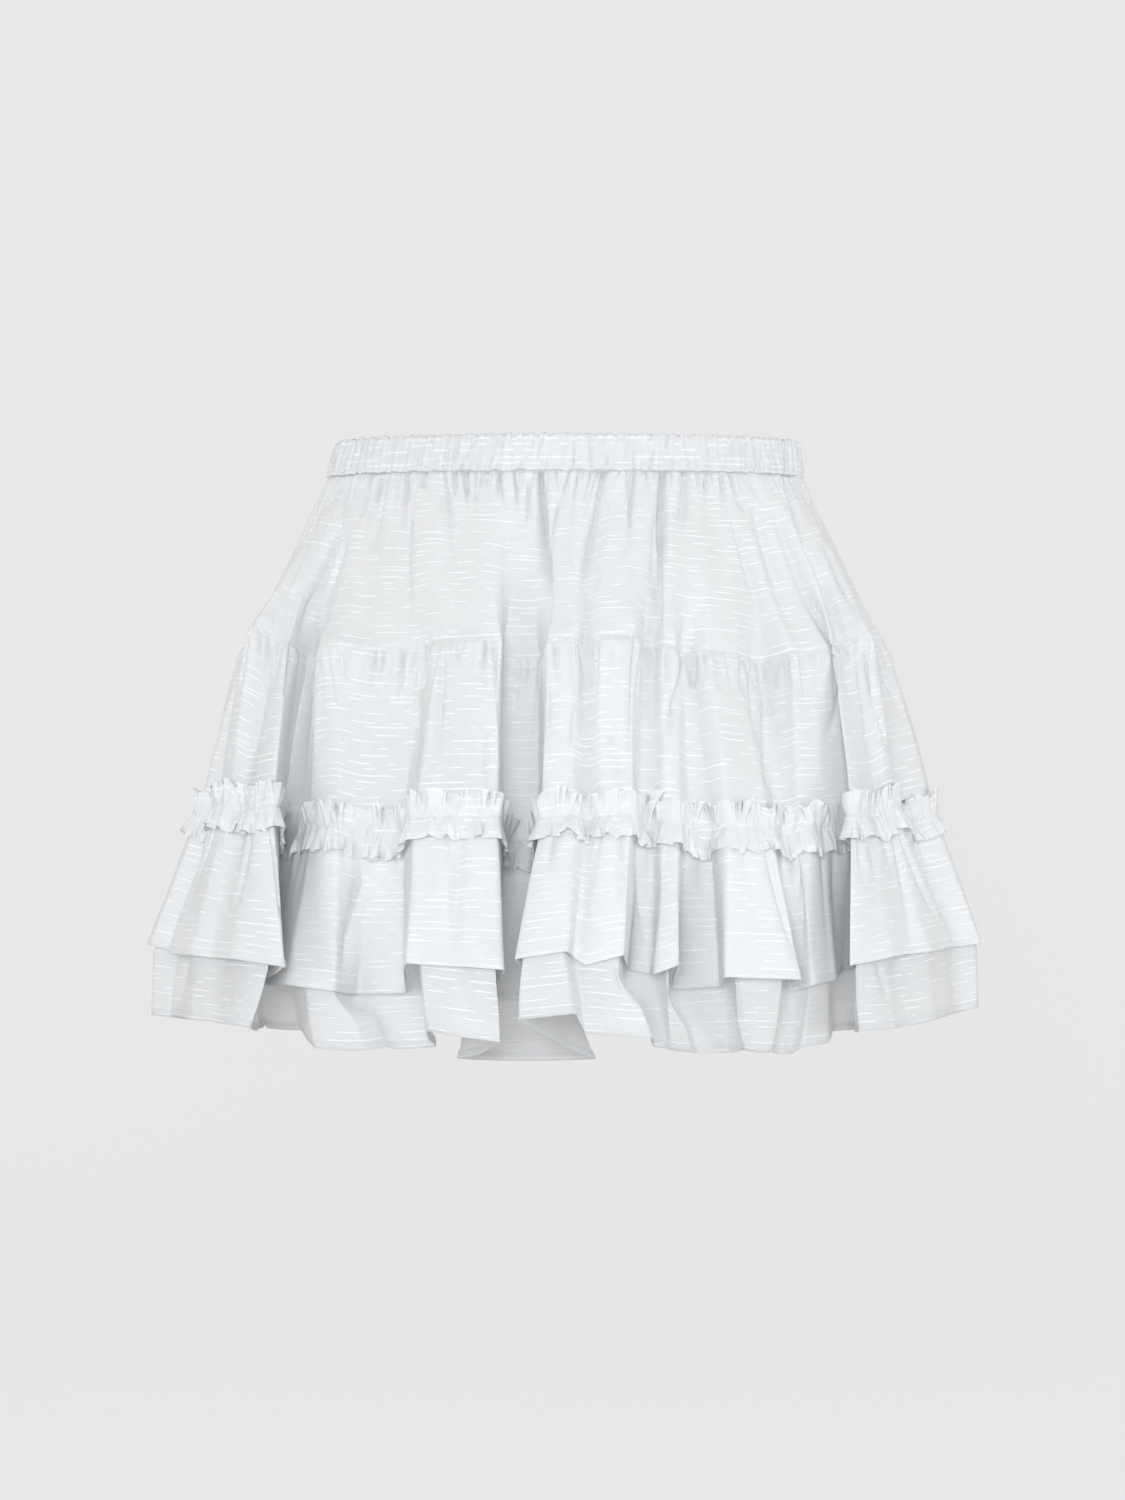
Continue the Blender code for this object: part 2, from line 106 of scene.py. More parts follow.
# ---- the folds ----
# One row per fold, anticlockwise seen from above, starting at the left side.
# Angles in degrees from the front centre towards +X; reaches in millimetres from
# the axis.  A fold has a left and a right corner on each of five rings: the waist,
# the seam between the tiers, the strip's seam and the two ruffles' hems.
FrontFold = namedtuple("FrontFold", (
    "name", "waist_left", "waist_right", "tier_left", "tier_right", "tier_reach",
    "strip_left", "strip_right", "strip_reach", "upper_left", "upper_right", "upper_reach",
    "lower_left", "lower_right", "lower_reach"))
FRONT_FOLDS = [FrontFold(*row) for row in (
    ("side ridge left", -89, -86, -88, -80, 191,
     -87, -80, 219, -90, -82, 250, -89, -82, 246),
    ("side groove left", -83, -81.5, -75, -72, 180,
     -76, -73.5, 204, -78, -75, 224, -77, -74.5, 226),
    ("first ridge, outer half", -79.5, -76.5, -66.5, -63.5, 197,
     -66, -60, 219, -71, -60, 243, -71, -60, 243),
    ("first ridge, groove", -75, -74, -62.5, -61.5, 189,
     -57.5, -55.5, 215, -56, -54, 238, -56, -54, 239),
    ("first ridge, inner half", -72, -68.5, -60.5, -58, 184,
     -53, -47, 219, -49, -38, 242, -50, -45, 242),
    ("left valley", -67, -65, -63, -58, 165,
     -60.5, -54, 187, -65, -57.3, 200, -67.5, -51, 192),
    ("second ridge", -63, -58, -52.5, -46, 176,
     -47.5, -41, 192, -44, -36.5, 211, -40.6, -32.5, 205),
    ("recess left", -47, -42, -34, -29, 160,
     -36, -29, 182, -37, -27, 190, -29.5, -22.5, 187),
    ("third ridge", -37, -20.5, -24.5, -11.5, 167,
     -23.5, -10, 206, -19.8, -7.0, 251, -17.0, -7.1, 252),
    ("middle valley", -17.5, -9.5, -15.5, -5.4, 142,
     -14, -5, 145, -15.5, -3, 163, -22, 7, 160),
    ("fourth ridge, left half", -7, 7, -3.4, 1.6, 166,
     -3.7, 1.4, 206, -6.3, 0.2, 255, -5.9, 0.6, 256),
    ("fourth ridge, groove", 11.5, 13, 3.2, 4.4, 160,
     2.9, 4.2, 201, 0.8, 1.4, 246, 1.6, 2.3, 246),
    ("fourth ridge, right half", 16, 24.5, 6, 13.5, 166,
     5.4, 10.2, 204, 2.3, 7.2, 248, 3.4, 10.8, 247),
    ("narrow valley", 28.5, 30.5, 16.5, 18.7, 151,
     12.2, 14.6, 192, 9.6, 12.2, 212, 13.2, 15.2, 206),
    ("fifth ridge", 32.5, 34, 19.6, 22.6, 159,
     15.6, 18.2, 196, 11, 14.9, 236, 16.0, 19.4, 207),
    ("recess right", 36, 37.5, 24.8, 27.2, 151,
     20.5, 25, 189, 17.5, 26.6, 190, 21.5, 26.5, 197),
    ("sixth ridge", 40, 46, 29, 37, 158,
     26.5, 35, 198, 21.6, 34.8, 226, 27, 32, 211),
    ("sixth groove", 48.5, 50.5, 43.5, 46, 153,
     38, 40, 189, 36.4, 38.4, 204, 36, 38, 201),
    ("seventh ridge", 52, 55, 48.5, 52.5, 170,
     41.5, 46.5, 195, 38.8, 44.3, 216, 38.2, 44, 210),
    ("right valley", 58, 60, 57, 60.5, 178,
     52.5, 61.5, 200, 54, 63, 193, 54, 63, 188),
    ("eighth ridge, inner half", 63, 66.5, 57, 59.5, 180,
     47.5, 51.5, 213, 39.2, 48.5, 241, 40.3, 49, 243),
    ("eighth ridge, groove", 70.5, 72, 60.5, 61.5, 186,
     54.5, 56, 211, 51.7, 53.7, 238, 52.3, 54.3, 240),
    ("eighth ridge, outer half", 75.5, 79, 62.5, 65, 193,
     58.5, 61.5, 214, 57.5, 67, 242, 58, 68, 243),
    ("side groove right", 82.5, 84, 72, 74.5, 178,
     69, 72, 201, 71, 74, 221, 71, 74, 224),
    ("side ridge right", 86.5, 90, 80, 87, 191,
     79, 86, 220, 79, 87, 250, 79, 87, 246),
)]
# Folds whose left corner reaches further out at the two hems than the right one, so
# that they face the front, in millimetres.
TURNED = {"second ridge": {"upper": 11, "lower": 9}}
# How much longer than their cut the ruffles hang, in millimetres, at the left and the
# right corner of each front fold: upper ruffle left and right, lower ruffle left and right.
HEM_SLACK = (
    (4, 1, 11, 8), (0, -1, 3, 2), (9, 5, 10, 7), (2, 2, 3, 4), (3, 12, 5, 12),
    (5, 5, 3, -4), (8, 10, 9, 13), (8, 6, 7, 3), (4, 7, 6, 10), (4, 4, 6, 7),
    (3, 0, 0, -2), (-1, 1, -4, 4), (5, 0, 6, 12), (-3, -1, 6, 6), (6, -2, 14, 17),
    (5, 3, 9, 5), (2, 2, 9, 7), (3, 4, 5, 5), (4, 1, 4, 2), (0, 0, 1, 3), (7, -1, 8, 4),
    (-2, -2, 3, 3), (1, 4, 5, 8), (-4, -5, 1, 1), (-1, 1, 2, 5),
)
# The back repeats the same kind of folds.  Each keeps its angle down the skirt;
# width is the angle between its two corners at the hem.
BackFold = namedtuple("BackFold", (
    "name", "at", "width", "strip_reach", "upper_reach", "lower_reach"))
STRIP_WIDTH_SHARE = 0.8
BACK_FOLDS = [BackFold(*row) for row in (
    ("back groove 1", 94, 2.5, 199, 216, 218),
    ("back ridge 1", 103, 7, 214, 246, 244),
    ("back valley 1", 114, 5, 172, 182, 180),
    ("back ridge 2", 125, 12, 208, 246, 247),
    ("back groove 2", 137, 4, 186, 204, 207),
    ("back ridge 3", 147, 9, 203, 238, 236),
    ("back valley 2", 158, 6, 163, 174, 172),
    ("back ridge 4", 170, 13, 206, 250, 252),
    ("back groove 3", 182, 4, 187, 213, 211),
    ("back ridge 5", 192.5, 9, 200, 238, 241),
    ("back valley 3", 204, 7, 162, 171, 167),
    ("back ridge 6", 216, 12, 207, 248, 248),
    ("back groove 4", 228, 4.5, 187, 201, 205),
    ("back ridge 7", 239, 10, 212, 240, 242),
    ("back valley 4", 249.5, 5, 179, 191, 188),
    ("back ridge 8", 259, 7, 214, 244, 244),
    ("back groove 5", 266, 3, 203, 220, 222),
)]

# ---- gathers ----
# Pinches along one seam: their spacing round the skirt, how deep and how far down
# the cloth they run, how wide they are and how much they widen and drift on the
# way, and how soon below the seam they open, all in metres.
Gather = namedtuple("Gather", "spacing depth reach longest width widening drift opens seed")
BAND_TOP = Gather(0.0034, 0.0011, 0.007, 0.040, 0.00045, 0.03, 0.14, 0.0, 11)
BAND_FOOT = Gather(0.0034, 0.0015, 0.008, 0.040, 0.00055, 0.03, 0.14, 0.0, 13)
WAIST_GATHER = Gather(0.0085, 0.0030, 0.012, 0.034, 0.0004, 0.015, 0.14, 0.0010, 23)
WAIST_FINE = Gather(0.0040, 0.0022, 0.007, 0.025, 0.0004, 0.02, 0.12, 0.0006, 27)
WAIST_FOLD = Gather(0.0230, 0.0018, 0.055, 0.200, 0.0016, 0.05, 0.12, 0.010, 29)
TIER_GATHER = Gather(0.0080, 0.0031, 0.011, 0.050, 0.0006, 0.018, 0.14, 0.0010, 37)
TIER_FINE = Gather(0.0042, 0.0021, 0.007, 0.025, 0.0006, 0.02, 0.12, 0.0006, 39)
TIER_FOLD = Gather(0.0250, 0.0015, 0.055, 0.200, 0.0020, 0.05, 0.12, 0.016, 43)
TIER_EDGE = Gather(0.0055, 0.0005, 0.004, 0.020, 0.0011, 0.10, 0.10, 0.0, 41)
OVER_GATHER = Gather(0.0085, 0.0022, 0.013, 0.060, 0.0009, 0.020, 0.12, 0.002, 53)
OVER_FOLD = Gather(0.0260, 0.0016, 0.060, 0.200, 0.0020, 0.04, 0.12, 0.006, 57)
UNDER_FOLD = Gather(0.0230, 0.0016, 0.090, 0.250, 0.0024, 0.03, 0.10, 0.006, 59)
FRILL_UP = Gather(0.0029, 0.0012, 0.0030, 0.0055, 0.0005, 0.060, 0.40, 0.0, 61)
FRILL_DOWN = Gather(0.0031, 0.0012, 0.0030, 0.0055, 0.0005, 0.060, 0.40, 0.0, 67)
SEAM_HOLDS = 0.003           # run over which a seam keeps the cloth from waving
SEAM_GRIP = 0.85             # share of the waves that it takes away
SEAM_DIP = 0.0014            # run over which it draws the cloth in
PINCH_JITTER = 0.38          # how unevenly pinches are spaced, as a share of the spacing
PINCH_DEPTHS = (0.35, 1.2)   # shallowest and deepest of them, as shares of the usual

# ---- frilled strip ----
STRIP_LIES = 0.0012          # how far its seam line lies off the cloth
FULL_FRILL = 0.0032          # stand-off at which its waves have their whole size
LEAST_FRILL = 0.0006
FRILL_CLEARANCE = 0.0022     # kept free where two folds face each other
STRIP_CALM = 160             # rounds that even out the way it faces
STRIP_BRIDGE = 300           # rounds that carry its edges over sharp inner corners
WIDE_WAVE, WIDE_SIZE = 0.0160, 0.0014        # length and height of its wide waves
NARROW_WAVE, NARROW_SIZE = 0.0066, 0.0009

# ---- stitches and hems ----
STITCH_LENGTH = 0.0022
STITCH_SPACE = 0.0009
STITCH_RADIUS = 0.00020
STITCH_SINK = STITCH_RADIUS * 1.4
STITCH_SIDES = 5
STITCH_LIFT = 0.0001         # how far a row of stitches lies off the cloth
HEM_THICKNESS = 0.0007       # of the turned cloth

# ---- camera and lights ----
LENS_MM = 72.0
CAMERA_AT = (-0.0015, -1.8, -0.0895)
CAMERA_AIM = (-0.0015, 0.0, -0.1735)
LIGHTS_AIM = (0.0, 0.0, -0.17)
LIGHTS = {                   # place and width
    "key": ((-0.18, -2.6, 0.24), 0.8),
    "left": ((-2.3, -1.2, 0.1), 1.4),
    "right": ((2.35, -1.1, -0.1), 1.4),
}

# ---- creases, listed one by one ----
# at and ends_at count the folds from the left side ridge, 0, towards the front: 8.0 is
# the left corner of the third ridge and 8.5 its right corner.  start and stop are runs
# below the piece's top edge, depth is inwards, and these two and the width are in
# millimetres.
Crease = namedtuple("Crease", "at ends_at start stop depth width")
CREASES = {
    "upper_tier": (
        (1.25, 1.25, 8, 200, 4.5, 3.4), (2.3, 2.6, 0, 70, 2.9, 1.4), (3.4, 3.0, 30, 105, 2.6, 2.0),
        (2.9, 2.8, 0, 18, 3.6, 1.0), (3.85, 3.6, 0, 30, 4.0, 1.1), (4.4, 4.3, 0, 14, 3.2, 0.9),
        (4.63, 5.1, 0, 30, 4.0, 1.1), (5.2, 4.62, 28, 113, 5.2, 1.3), (5.75, 5.2, 42, 92, 2.6, 2.2),
        (6.27, 6.14, 0, 34, 4.4, 1.1), (6.56, 6.49, 0, 16, 4.0, 1.0), (6.8, 6.84, 36, 68, 1.4, 2.6),
        (6.96, 6.95, 0, 24, 4.6, 1.1), (7.36, 7.38, 0, 14, 3.6, 0.9), (7.08, 7.26, 17, 108, 2.6, 2.0),
        (8.08, 8.08, 0, 20, 4.0, 1.0), (8.2, 8.21, 0, 20, 3.2, 0.9), (8.41, 8.42, 0, 12, 2.8, 0.9),
        (8.6, 8.56, 0, 19, 3.5, 0.9), (8.77, 8.88, 30, 111, 1.8, 2.6), (9.42, 9.34, 3, 42, 3.0, 1.0),
        (9.86, 9.82, 0, 96, 8.8, 1.5), (9.85, 9.92, 46, 112, 4.0, 2.4), (10.18, 9.96, 18, 62, 2.6, 0.7),
        (11.1, 10.6, 0, 94, 4.2, 1.5), (12.7, 12.4, 58, 108, 2.0, 2.4), (13.35, 13.9, 0, 60, 6.5, 1.5),
        (13.84, 13.76, 32, 108, 5.2, 1.3), (13.19, 13.78, 27, 113, 2.6, 1.0),
        (15.25, 14.85, 0, 48, 3.1, 1.5), (16.78, 17.58, 28, 88, 3.2, 1.5), (17.53, 17.9, 0, 28, 3.8, 1.0),
        (18.6, 18.3, 12, 120, 4.0, 3.0), (19.6, 19.2, 20, 130, 3.6, 2.4), (20.95, 20.12, 0, 56, 4.8, 1.1),
        (20.12, 20.8, 44, 112, 4.2, 1.4), (22.9, 22.02, 9, 60, 4.3, 1.2),
        (22.02, 21.8, 44, 113, 5.0, 2.0), (23.6, 23.2, 12, 84, 2.8, 1.4), (26.3, 25.9, 0, 84, 4.3, 1.3),
        (28.1, 28.4, 0, 62, 3.8, 1.2), (29.7, 29.2, 10, 113, 5.5, 1.6), (30.4, 30.42, 0, 24, 3.2, 0.9),
        (31.6, 31.1, 0, 104, 6.5, 1.2), (33.2, 33.3, 0, 34, 3.8, 1.0), (34.1, 34.6, 24, 113, 3.6, 1.8),
        (36.0, 35.4, 0, 70, 5.5, 1.5), (37.4, 37.7, 18, 110, 3.8, 1.6), (39.2, 39.0, 0, 48, 3.5, 1.2),
        (40.3, 39.8, 14, 96, 3.4, 1.4),
    ),
    "middle_tier": (
        (1.25, 1.25, 0, 90, 1.8, 3.4), (2.2, 2.25, 3, 44, 3.0, 1.2), (3.4, 3.4, 2, 88, 3.4, 1.6),
        (4.6, 4.5, 3, 40, 3.2, 1.4), (6.53, 6.54, 2, 30, 2.8, 1.0), (6.53, 6.56, 28, 72, 1.6, 2.4),
        (6.78, 6.8, 2, 28, 3.2, 1.0), (7.02, 7.12, 2, 25, 3.2, 1.0), (7.45, 7.95, 24, 100, 2.2, 5.0),
        (7.48, 7.72, 2, 30, 3.8, 1.2), (8.04, 8.11, 4, 78, 3.0, 1.2), (8.16, 8.16, 0, 15, 2.8, 0.9),
        (8.41, 8.42, 54, 94, 1.8, 0.9), (9.35, 9.3, 0, 18, 2.5, 0.9), (9.62, 9.6, 0, 22, 2.8, 0.9),
        (10.01, 10.05, 27, 64, 2.4, 1.6), (10.53, 10.43, 42, 68, 2.2, 0.7),
        (12.1, 12.48, 50, 100, 2.4, 2.0), (14.13, 14.13, 2, 31, 3.0, 1.0),
        (15.08, 13.95, 1, 64, 5.5, 1.5), (15.66, 15.4, 1, 24, 3.5, 1.0), (16.2, 16.12, 2, 28, 3.2, 1.0),
        (16.66, 16.46, 0, 27, 3.5, 1.0), (17.5, 16.6, 16, 88, 2.6, 1.8), (17.9, 17.92, 1, 26, 3.5, 1.0),
        (19.7, 18.6, 2, 60, 3.4, 1.6), (20.0, 19.92, 3, 36, 3.2, 1.2), (21.75, 22.1, 5, 58, 4.2, 1.5),
        (22.1, 23.0, 48, 94, 3.6, 2.2), (27.3, 27.1, 0, 44, 4.0, 1.4), (29.1, 29.6, 2, 66, 3.8, 1.2),
        (31.3, 31.2, 0, 96, 3.4, 1.6), (33.6, 33.2, 4, 58, 3.5, 1.5), (35.3, 35.4, 20, 98, 3.0, 2.0),
        (37.6, 37.2, 0, 52, 4.5, 1.5), (39.4, 39.5, 6, 88, 3.0, 1.6),
    ),
    "upper_ruffle": (
        (2.1, 2.0, 6, 60, 2.4, 1.6), (3.96, 3.86, 5, 62, 2.6, 1.8), (6.92, 6.62, 14, 82, 3.6, 2.0),
        (8.26, 8.23, 8, 82, 2.6, 1.8), (10.3, 10.22, 4, 34, 2.4, 1.0), (12.32, 12.46, 6, 58, 2.6, 1.4),
        (12.7, 13.6, 8, 80, 2.2, 1.4), (16.38, 16.52, 3, 82, 3.4, 1.4), (20.3, 20.26, 4, 42, 2.2, 1.4),
        (22.2, 22.34, 8, 70, 2.4, 1.8), (28.2, 28.3, 4, 70, 2.8, 1.6), (32.3, 32.16, 6, 82, 3.0, 1.8),
        (36.2, 36.4, 4, 54, 2.6, 1.4), (38.3, 38.2, 10, 80, 2.8, 2.0),
    ),
    "lower_ruffle": (
        (2.3, 2.1, 70, 116, 2.4, 2.6), (8.3, 8.26, 74, 116, 2.2, 2.4), (12.3, 12.44, 78, 116, 2.4, 2.6),
        (20.4, 20.5, 70, 116, 2.2, 2.8),
    ),
}


# ---- sizes, colours and light a user would change ----
class SkirtCut(bpy.types.PropertyGroup):
    """Lengths of cloth, measured along it from seam to seam or hem."""

    upper_tier: bpy.props.FloatProperty(
        name="Upper tier", description="Length of the upper tier", default=0.113,
        min=0.09, max=0.13, unit="LENGTH")
    middle_tier: bpy.props.FloatProperty(
        name="Middle tier", description="Length of the middle tier", default=0.104,
        min=0.08, max=0.12, unit="LENGTH")
    upper_ruffle: bpy.props.FloatProperty(
        name="Upper ruffle", description="Length of the upper ruffle", default=0.082,
        min=0.065, max=0.095, unit="LENGTH")
    lower_ruffle: bpy.props.FloatProperty(
        name="Lower ruffle", description="Length of the lower ruffle", default=0.116,
        min=0.10, max=0.13, unit="LENGTH")
    strip: bpy.props.FloatProperty(
        name="Strip", description="Width of the frilled strip", default=0.0265,
        min=0.02, max=0.036, unit="LENGTH")
    hem: bpy.props.FloatProperty(
        name="Hem", description="Width of the ruffles' turned hems", default=0.0045,
        min=0.003, max=0.010, unit="LENGTH")
    gathering: bpy.props.FloatProperty(
        name="Gathering", description="Depth of all gathers, as a share of the usual",
        default=1.0, min=0.0, max=1.6, subtype="FACTOR")
    frill: bpy.props.FloatProperty(
        name="Frill", description="How far the strip's edges stand off the cloth",
        default=0.0025, min=0.0015, max=0.006, unit="LENGTH")


class SkirtCotton(bpy.types.PropertyGroup):
    """The cloth's colour and surface."""

    white: bpy.props.FloatVectorProperty(
        name="White", description="Colour of the cotton", default=(0.832, 0.838, 0.846),
        size=3, min=0.0, max=1.0, subtype="COLOR")
    thread: bpy.props.FloatVectorProperty(
        name="Thread", description="Colour of the sewing thread", default=(0.76, 0.765, 0.775),
        size=3, min=0.0, max=1.0, subtype="COLOR")
    slub_pitch: bpy.props.FloatProperty(
        name="Slub pitch", description="Distance between two rows of slub threads",
        default=0.0038, min=0.002, max=0.02, unit="LENGTH")
    slub_height: bpy.props.FloatProperty(
        name="Slub height", description="How far a slub thread stands out of the weave",
        default=0.00017, min=0.0, max=0.001, unit="LENGTH")
    sheen: bpy.props.FloatProperty(
        name="Sheen", description="Soft glow of the fibre ends", default=0.15,
        min=0.0, max=1.0, subtype="FACTOR")
    sheer: bpy.props.FloatProperty(
        name="Sheer", description="Share of the light that the thin cloth lets through",
        default=0.44, min=0.0, max=0.6, subtype="FACTOR")


class SkirtStudio(bpy.types.PropertyGroup):
    """Light and backdrop."""

    surround: bpy.props.FloatProperty(
        name="Surround", description="Strength of the even light from all sides",
        default=0.62, min=0.0, max=4.0)
    surround_tint: bpy.props.FloatVectorProperty(
        name="Surround tint", description="Colour of the even light", default=(1.0, 0.98, 0.935),
        size=3, min=0.0, max=1.0, subtype="COLOR")
    key: bpy.props.FloatProperty(
        name="Key light", description="Power of the large light above the camera",
        default=45.0, min=0.0, max=500.0, unit="POWER")
    left: bpy.props.FloatProperty(
        name="Left light", description="Power of the large light at the left",
        default=18.0, min=0.0, max=500.0, unit="POWER")
    right: bpy.props.FloatProperty(
        name="Right light", description="Power of the large light at the right",
        default=26.0, min=0.0, max=500.0, unit="POWER")
    lamp_tint: bpy.props.FloatVectorProperty(
        name="Lamp tint", description="Colour of the three lights", default=(0.91, 0.95, 1.0),
        size=3, min=0.0, max=1.0, subtype="COLOR")
    paper: bpy.props.FloatVectorProperty(
        name="Paper", description="Colour of the floor and backdrop",
        default=(0.198, 0.197, 0.198), size=3, min=0.0, max=1.0, subtype="COLOR")
    paper_glow: bpy.props.FloatProperty(
        name="Paper glow", description="Light that comes through the paper from behind",
        default=0.645, min=0.0, max=2.0)


# ---- rings ----
def at_angle(degrees, reach):
    """Point at an angle from the front centre and a distance from the axis."""
    turn = math.radians(degrees)
    return reach * math.sin(turn), -reach * math.cos(turn)


def waist_reach(degrees):
    """Distance from the axis to the waist ellipse."""
    turn = math.radians(degrees)
    return (WAIST_HALF_WIDTH * WAIST_HALF_DEPTH
            / math.hypot(WAIST_HALF_DEPTH * math.sin(turn), WAIST_HALF_WIDTH * math.cos(turn)))


def slack_at(folds, ruffle):
    """How much longer than its cut a ruffle, 0 or 1, hangs at each column, in metres."""
    corners = np.array(HEM_SLACK)[:, 2 * ruffle:2 * ruffle + 2].ravel() * MM
    slack = np.concatenate([corners, np.zeros(2 * len(BACK_FOLDS)), corners[:1]])
    return np.interp(folds * 2, np.arange(len(slack)), slack)


def corner_rings():
    """Corners of all folds on every ring, in metres."""
    rings = {name: [] for name in CRISPNESS}
    for fold in FRONT_FOLDS:
        for side in ("left", "right"):
            for name, ring in rings.items():
                angle = getattr(fold, name + "_" + side)
                reach = waist_reach(angle) if name == "waist" else (
                    getattr(fold, name + "_reach") * MM)
                if side == "left":
                    reach += TURNED.get(fold.name, {}).get(name, 0) * MM
                ring.append(at_angle(angle, reach))
    places = [fold.at for fold in BACK_FOLDS]
    before = [FRONT_FOLDS[-1].waist_right] + places[:-1]
    after = places[1:] + [FRONT_FOLDS[0].waist_left + 360.0]
    for fold, last, following in zip(BACK_FOLDS, before, after):
        for side, waist_at in ((-0.5, fold.at - (fold.at - last) / 4),
                               (0.5, fold.at + (following - fold.at) / 4)):
            half = side * fold.width
            waist = np.array(at_angle(waist_at, waist_reach(waist_at)))
            strip = np.array(at_angle(fold.at + half * STRIP_WIDTH_SHARE, fold.strip_reach * MM))
            rings["waist"].append(waist)
            rings["tier"].append(waist + (strip - waist) * SEAM_SHARE)
            rings["strip"].append(strip)
            rings["upper"].append(at_angle(fold.at + half, fold.upper_reach * MM))
            rings["lower"].append(at_angle(fold.at + half, fold.lower_reach * MM))
    return {name: np.array(ring) for name, ring in rings.items()}


def closed_spline(corners, crispness):
    """Cubic spline round the corners, mixed with the straight lines between them."""
    pulled = corners - CORNER_PULL * (
        np.roll(corners, 1, 0) + np.roll(corners, -1, 0) - 2 * corners)
    t = np.arange(CORNER_STEPS) / CORNER_STEPS
    weights = np.stack([(1 - t) ** 3, 3 * t ** 3 - 6 * t ** 2 + 4,
                        -3 * t ** 3 + 3 * t ** 2 + 3 * t + 1, t ** 3], 1) / 6
    around = [np.roll(pulled, 1 - k, 0) for k in range(4)]
    spline = np.einsum("sk,kcd->csd", weights, np.array(around)).reshape(-1, 2)
    ends = np.stack([corners, np.roll(corners, -1, 0)])
    straight = np.einsum("sk,kcd->csd", np.stack([1 - t, t], 1), ends).reshape(-1, 2)
    return spline + (straight - spline) * crispness


def step_lengths(ring):
    """Distance from each point of a closed ring to the next one."""
    return np.linalg.norm(np.roll(ring, -1, 0) - ring, axis=1)


def travel(ring):
    """Distance along a closed ring to each point, and right round to the first one."""
    return np.concatenate([[0.0], np.cumsum(step_lengths(ring))])


def fold_rings(columns):
    """Every ring by name with the columns shared out evenly, and each column's fold."""
    rings = {name: closed_spline(corners, CRISPNESS[name])
             for name, corners in corner_rings().items()}
    steps = sum(step_lengths(ring) for ring in rings.values())
    steps += (WAIST_WEIGHT - 1) * step_lengths(rings["waist"])
    travelled = np.concatenate([[0.0], np.cumsum(steps)])
    wanted = np.linspace(0.0, travelled[-1], columns, endpoint=False)
    for name, ring in rings.items():
        closed = np.concatenate([ring, ring[:1]])
        rings[name] = smoothed(np.column_stack(
            [np.interp(wanted, travelled, closed[:, axis]) for axis in range(2)]), CORNER_ROUNDS)
    folds = np.interp(wanted, travelled, np.arange(len(travelled))) / CORNER_STEPS / 2
    return rings, folds


def calmed(ring):
    """The ring without its folds."""
    waves = np.fft.fft(ring[:, 0] + 1j * ring[:, 1])
    waves[CALM_WAVES + 1:-CALM_WAVES] = 0
    even = np.fft.ifft(waves)
    return np.column_stack([even.real, even.imag])


def inward(ring):
    """Unit vectors pointing into a ring that runs anticlockwise seen from above."""
    along = np.roll(ring, -1, 0) - np.roll(ring, 1, 0)
    along /= np.linalg.norm(along, axis=1)[:, None]
    return np.column_stack([-along[:, 1], along[:, 0]])


def keep_inside(ring, cover, gap):
    """Move a ring so that it lies at least the gap inside the ring that covers it."""
    columns = len(ring)
    near = (np.arange(columns)[:, None] + np.arange(-NEAR_COLUMNS, NEAR_COLUMNS)) % columns
    start = cover[near]
    edge = (np.roll(cover, -1, 0) - cover)[near]
    offset = ring[:, None] - start
    share = (offset * edge).sum(2) / (edge ** 2).sum(2)
    offset -= edge * np.clip(share, 0, 1)[:, :, None]
    distance = np.linalg.norm(offset, axis=2)
    pick = distance.argmin(1)
    rows = np.arange(columns)
    unit = edge[rows, pick] / np.linalg.norm(edge[rows, pick], axis=1)[:, None]
    into = np.column_stack([-unit[:, 1], unit[:, 0]])
    side = np.sign((offset[rows, pick] * into).sum(1))
    return ring + into * np.maximum(gap - side * distance[rows, pick], 0)[:, None]


def smoothed(values, rounds=1):
    """Values of a closed ring, evened out with their neighbours."""
    for _ in range(rounds):
        values = values / 2 + (np.roll(values, 1, 0) + np.roll(values, -1, 0)) / 4
    return values


# ---- sheets of cloth ----
def hang(levels, top, lengths):
    """Points of each level when every column keeps its length between levels."""
    heights = [top]
    for above, below, length in zip(levels[:-1], levels[1:], lengths):
        travel = ((below - above) ** 2).sum(1)
        drop = np.sqrt(np.maximum(length ** 2 - travel, (STEEPEST_LEVEL * length) ** 2))
        heights.append(heights[-1] - drop)
    return np.array([np.column_stack([ring, height]) for ring, height in zip(levels, heights)])


def surface_normals(grid):
    """Unit normals of a closed grid, pointing away from the hollow."""
    around = np.roll(grid, -1, 1) - np.roll(grid, 1, 1)
    normal = np.cross(np.gradient(grid, axis=0), around)
    return normal / np.linalg.norm(normal, axis=2)[:, :, None]


def outer_surface(rings, folds, runs, cut):
    """Both tiers and the upper ruffle, at runs below the waist seam."""
    tiers = cut.upper_tier + cut.middle_tier
    calm = calmed(rings["tier"])
    levels = []
    for run in runs:
        if run <= cut.upper_tier:
            share = run / cut.upper_tier
            eased = share + UPPER_EASE * share * (1 - share)
            levels.append(rings["waist"] + (calm - rings["waist"]) * eased
                          + (rings["tier"] - calm) * share ** FOLDS_GROW)
        elif run <= tiers:
            share = (run - cut.upper_tier) / cut.middle_tier
            eased = share + MIDDLE_EASE * share * (1 - share)
            levels.append(rings["tier"] + (rings["strip"] - rings["tier"]) * eased)
        else:
            share = (run - tiers) / cut.upper_ruffle
            levels.append(rings["strip"] + (rings["upper"] - rings["strip"]) * share)
    longer = (runs[1:, None] > tiers + 1e-6) * slack_at(folds, 0) / cut.upper_ruffle
    return hang(levels, np.full(len(folds), WAIST_SEAM), np.diff(runs)[:, None] * (1 + longer))


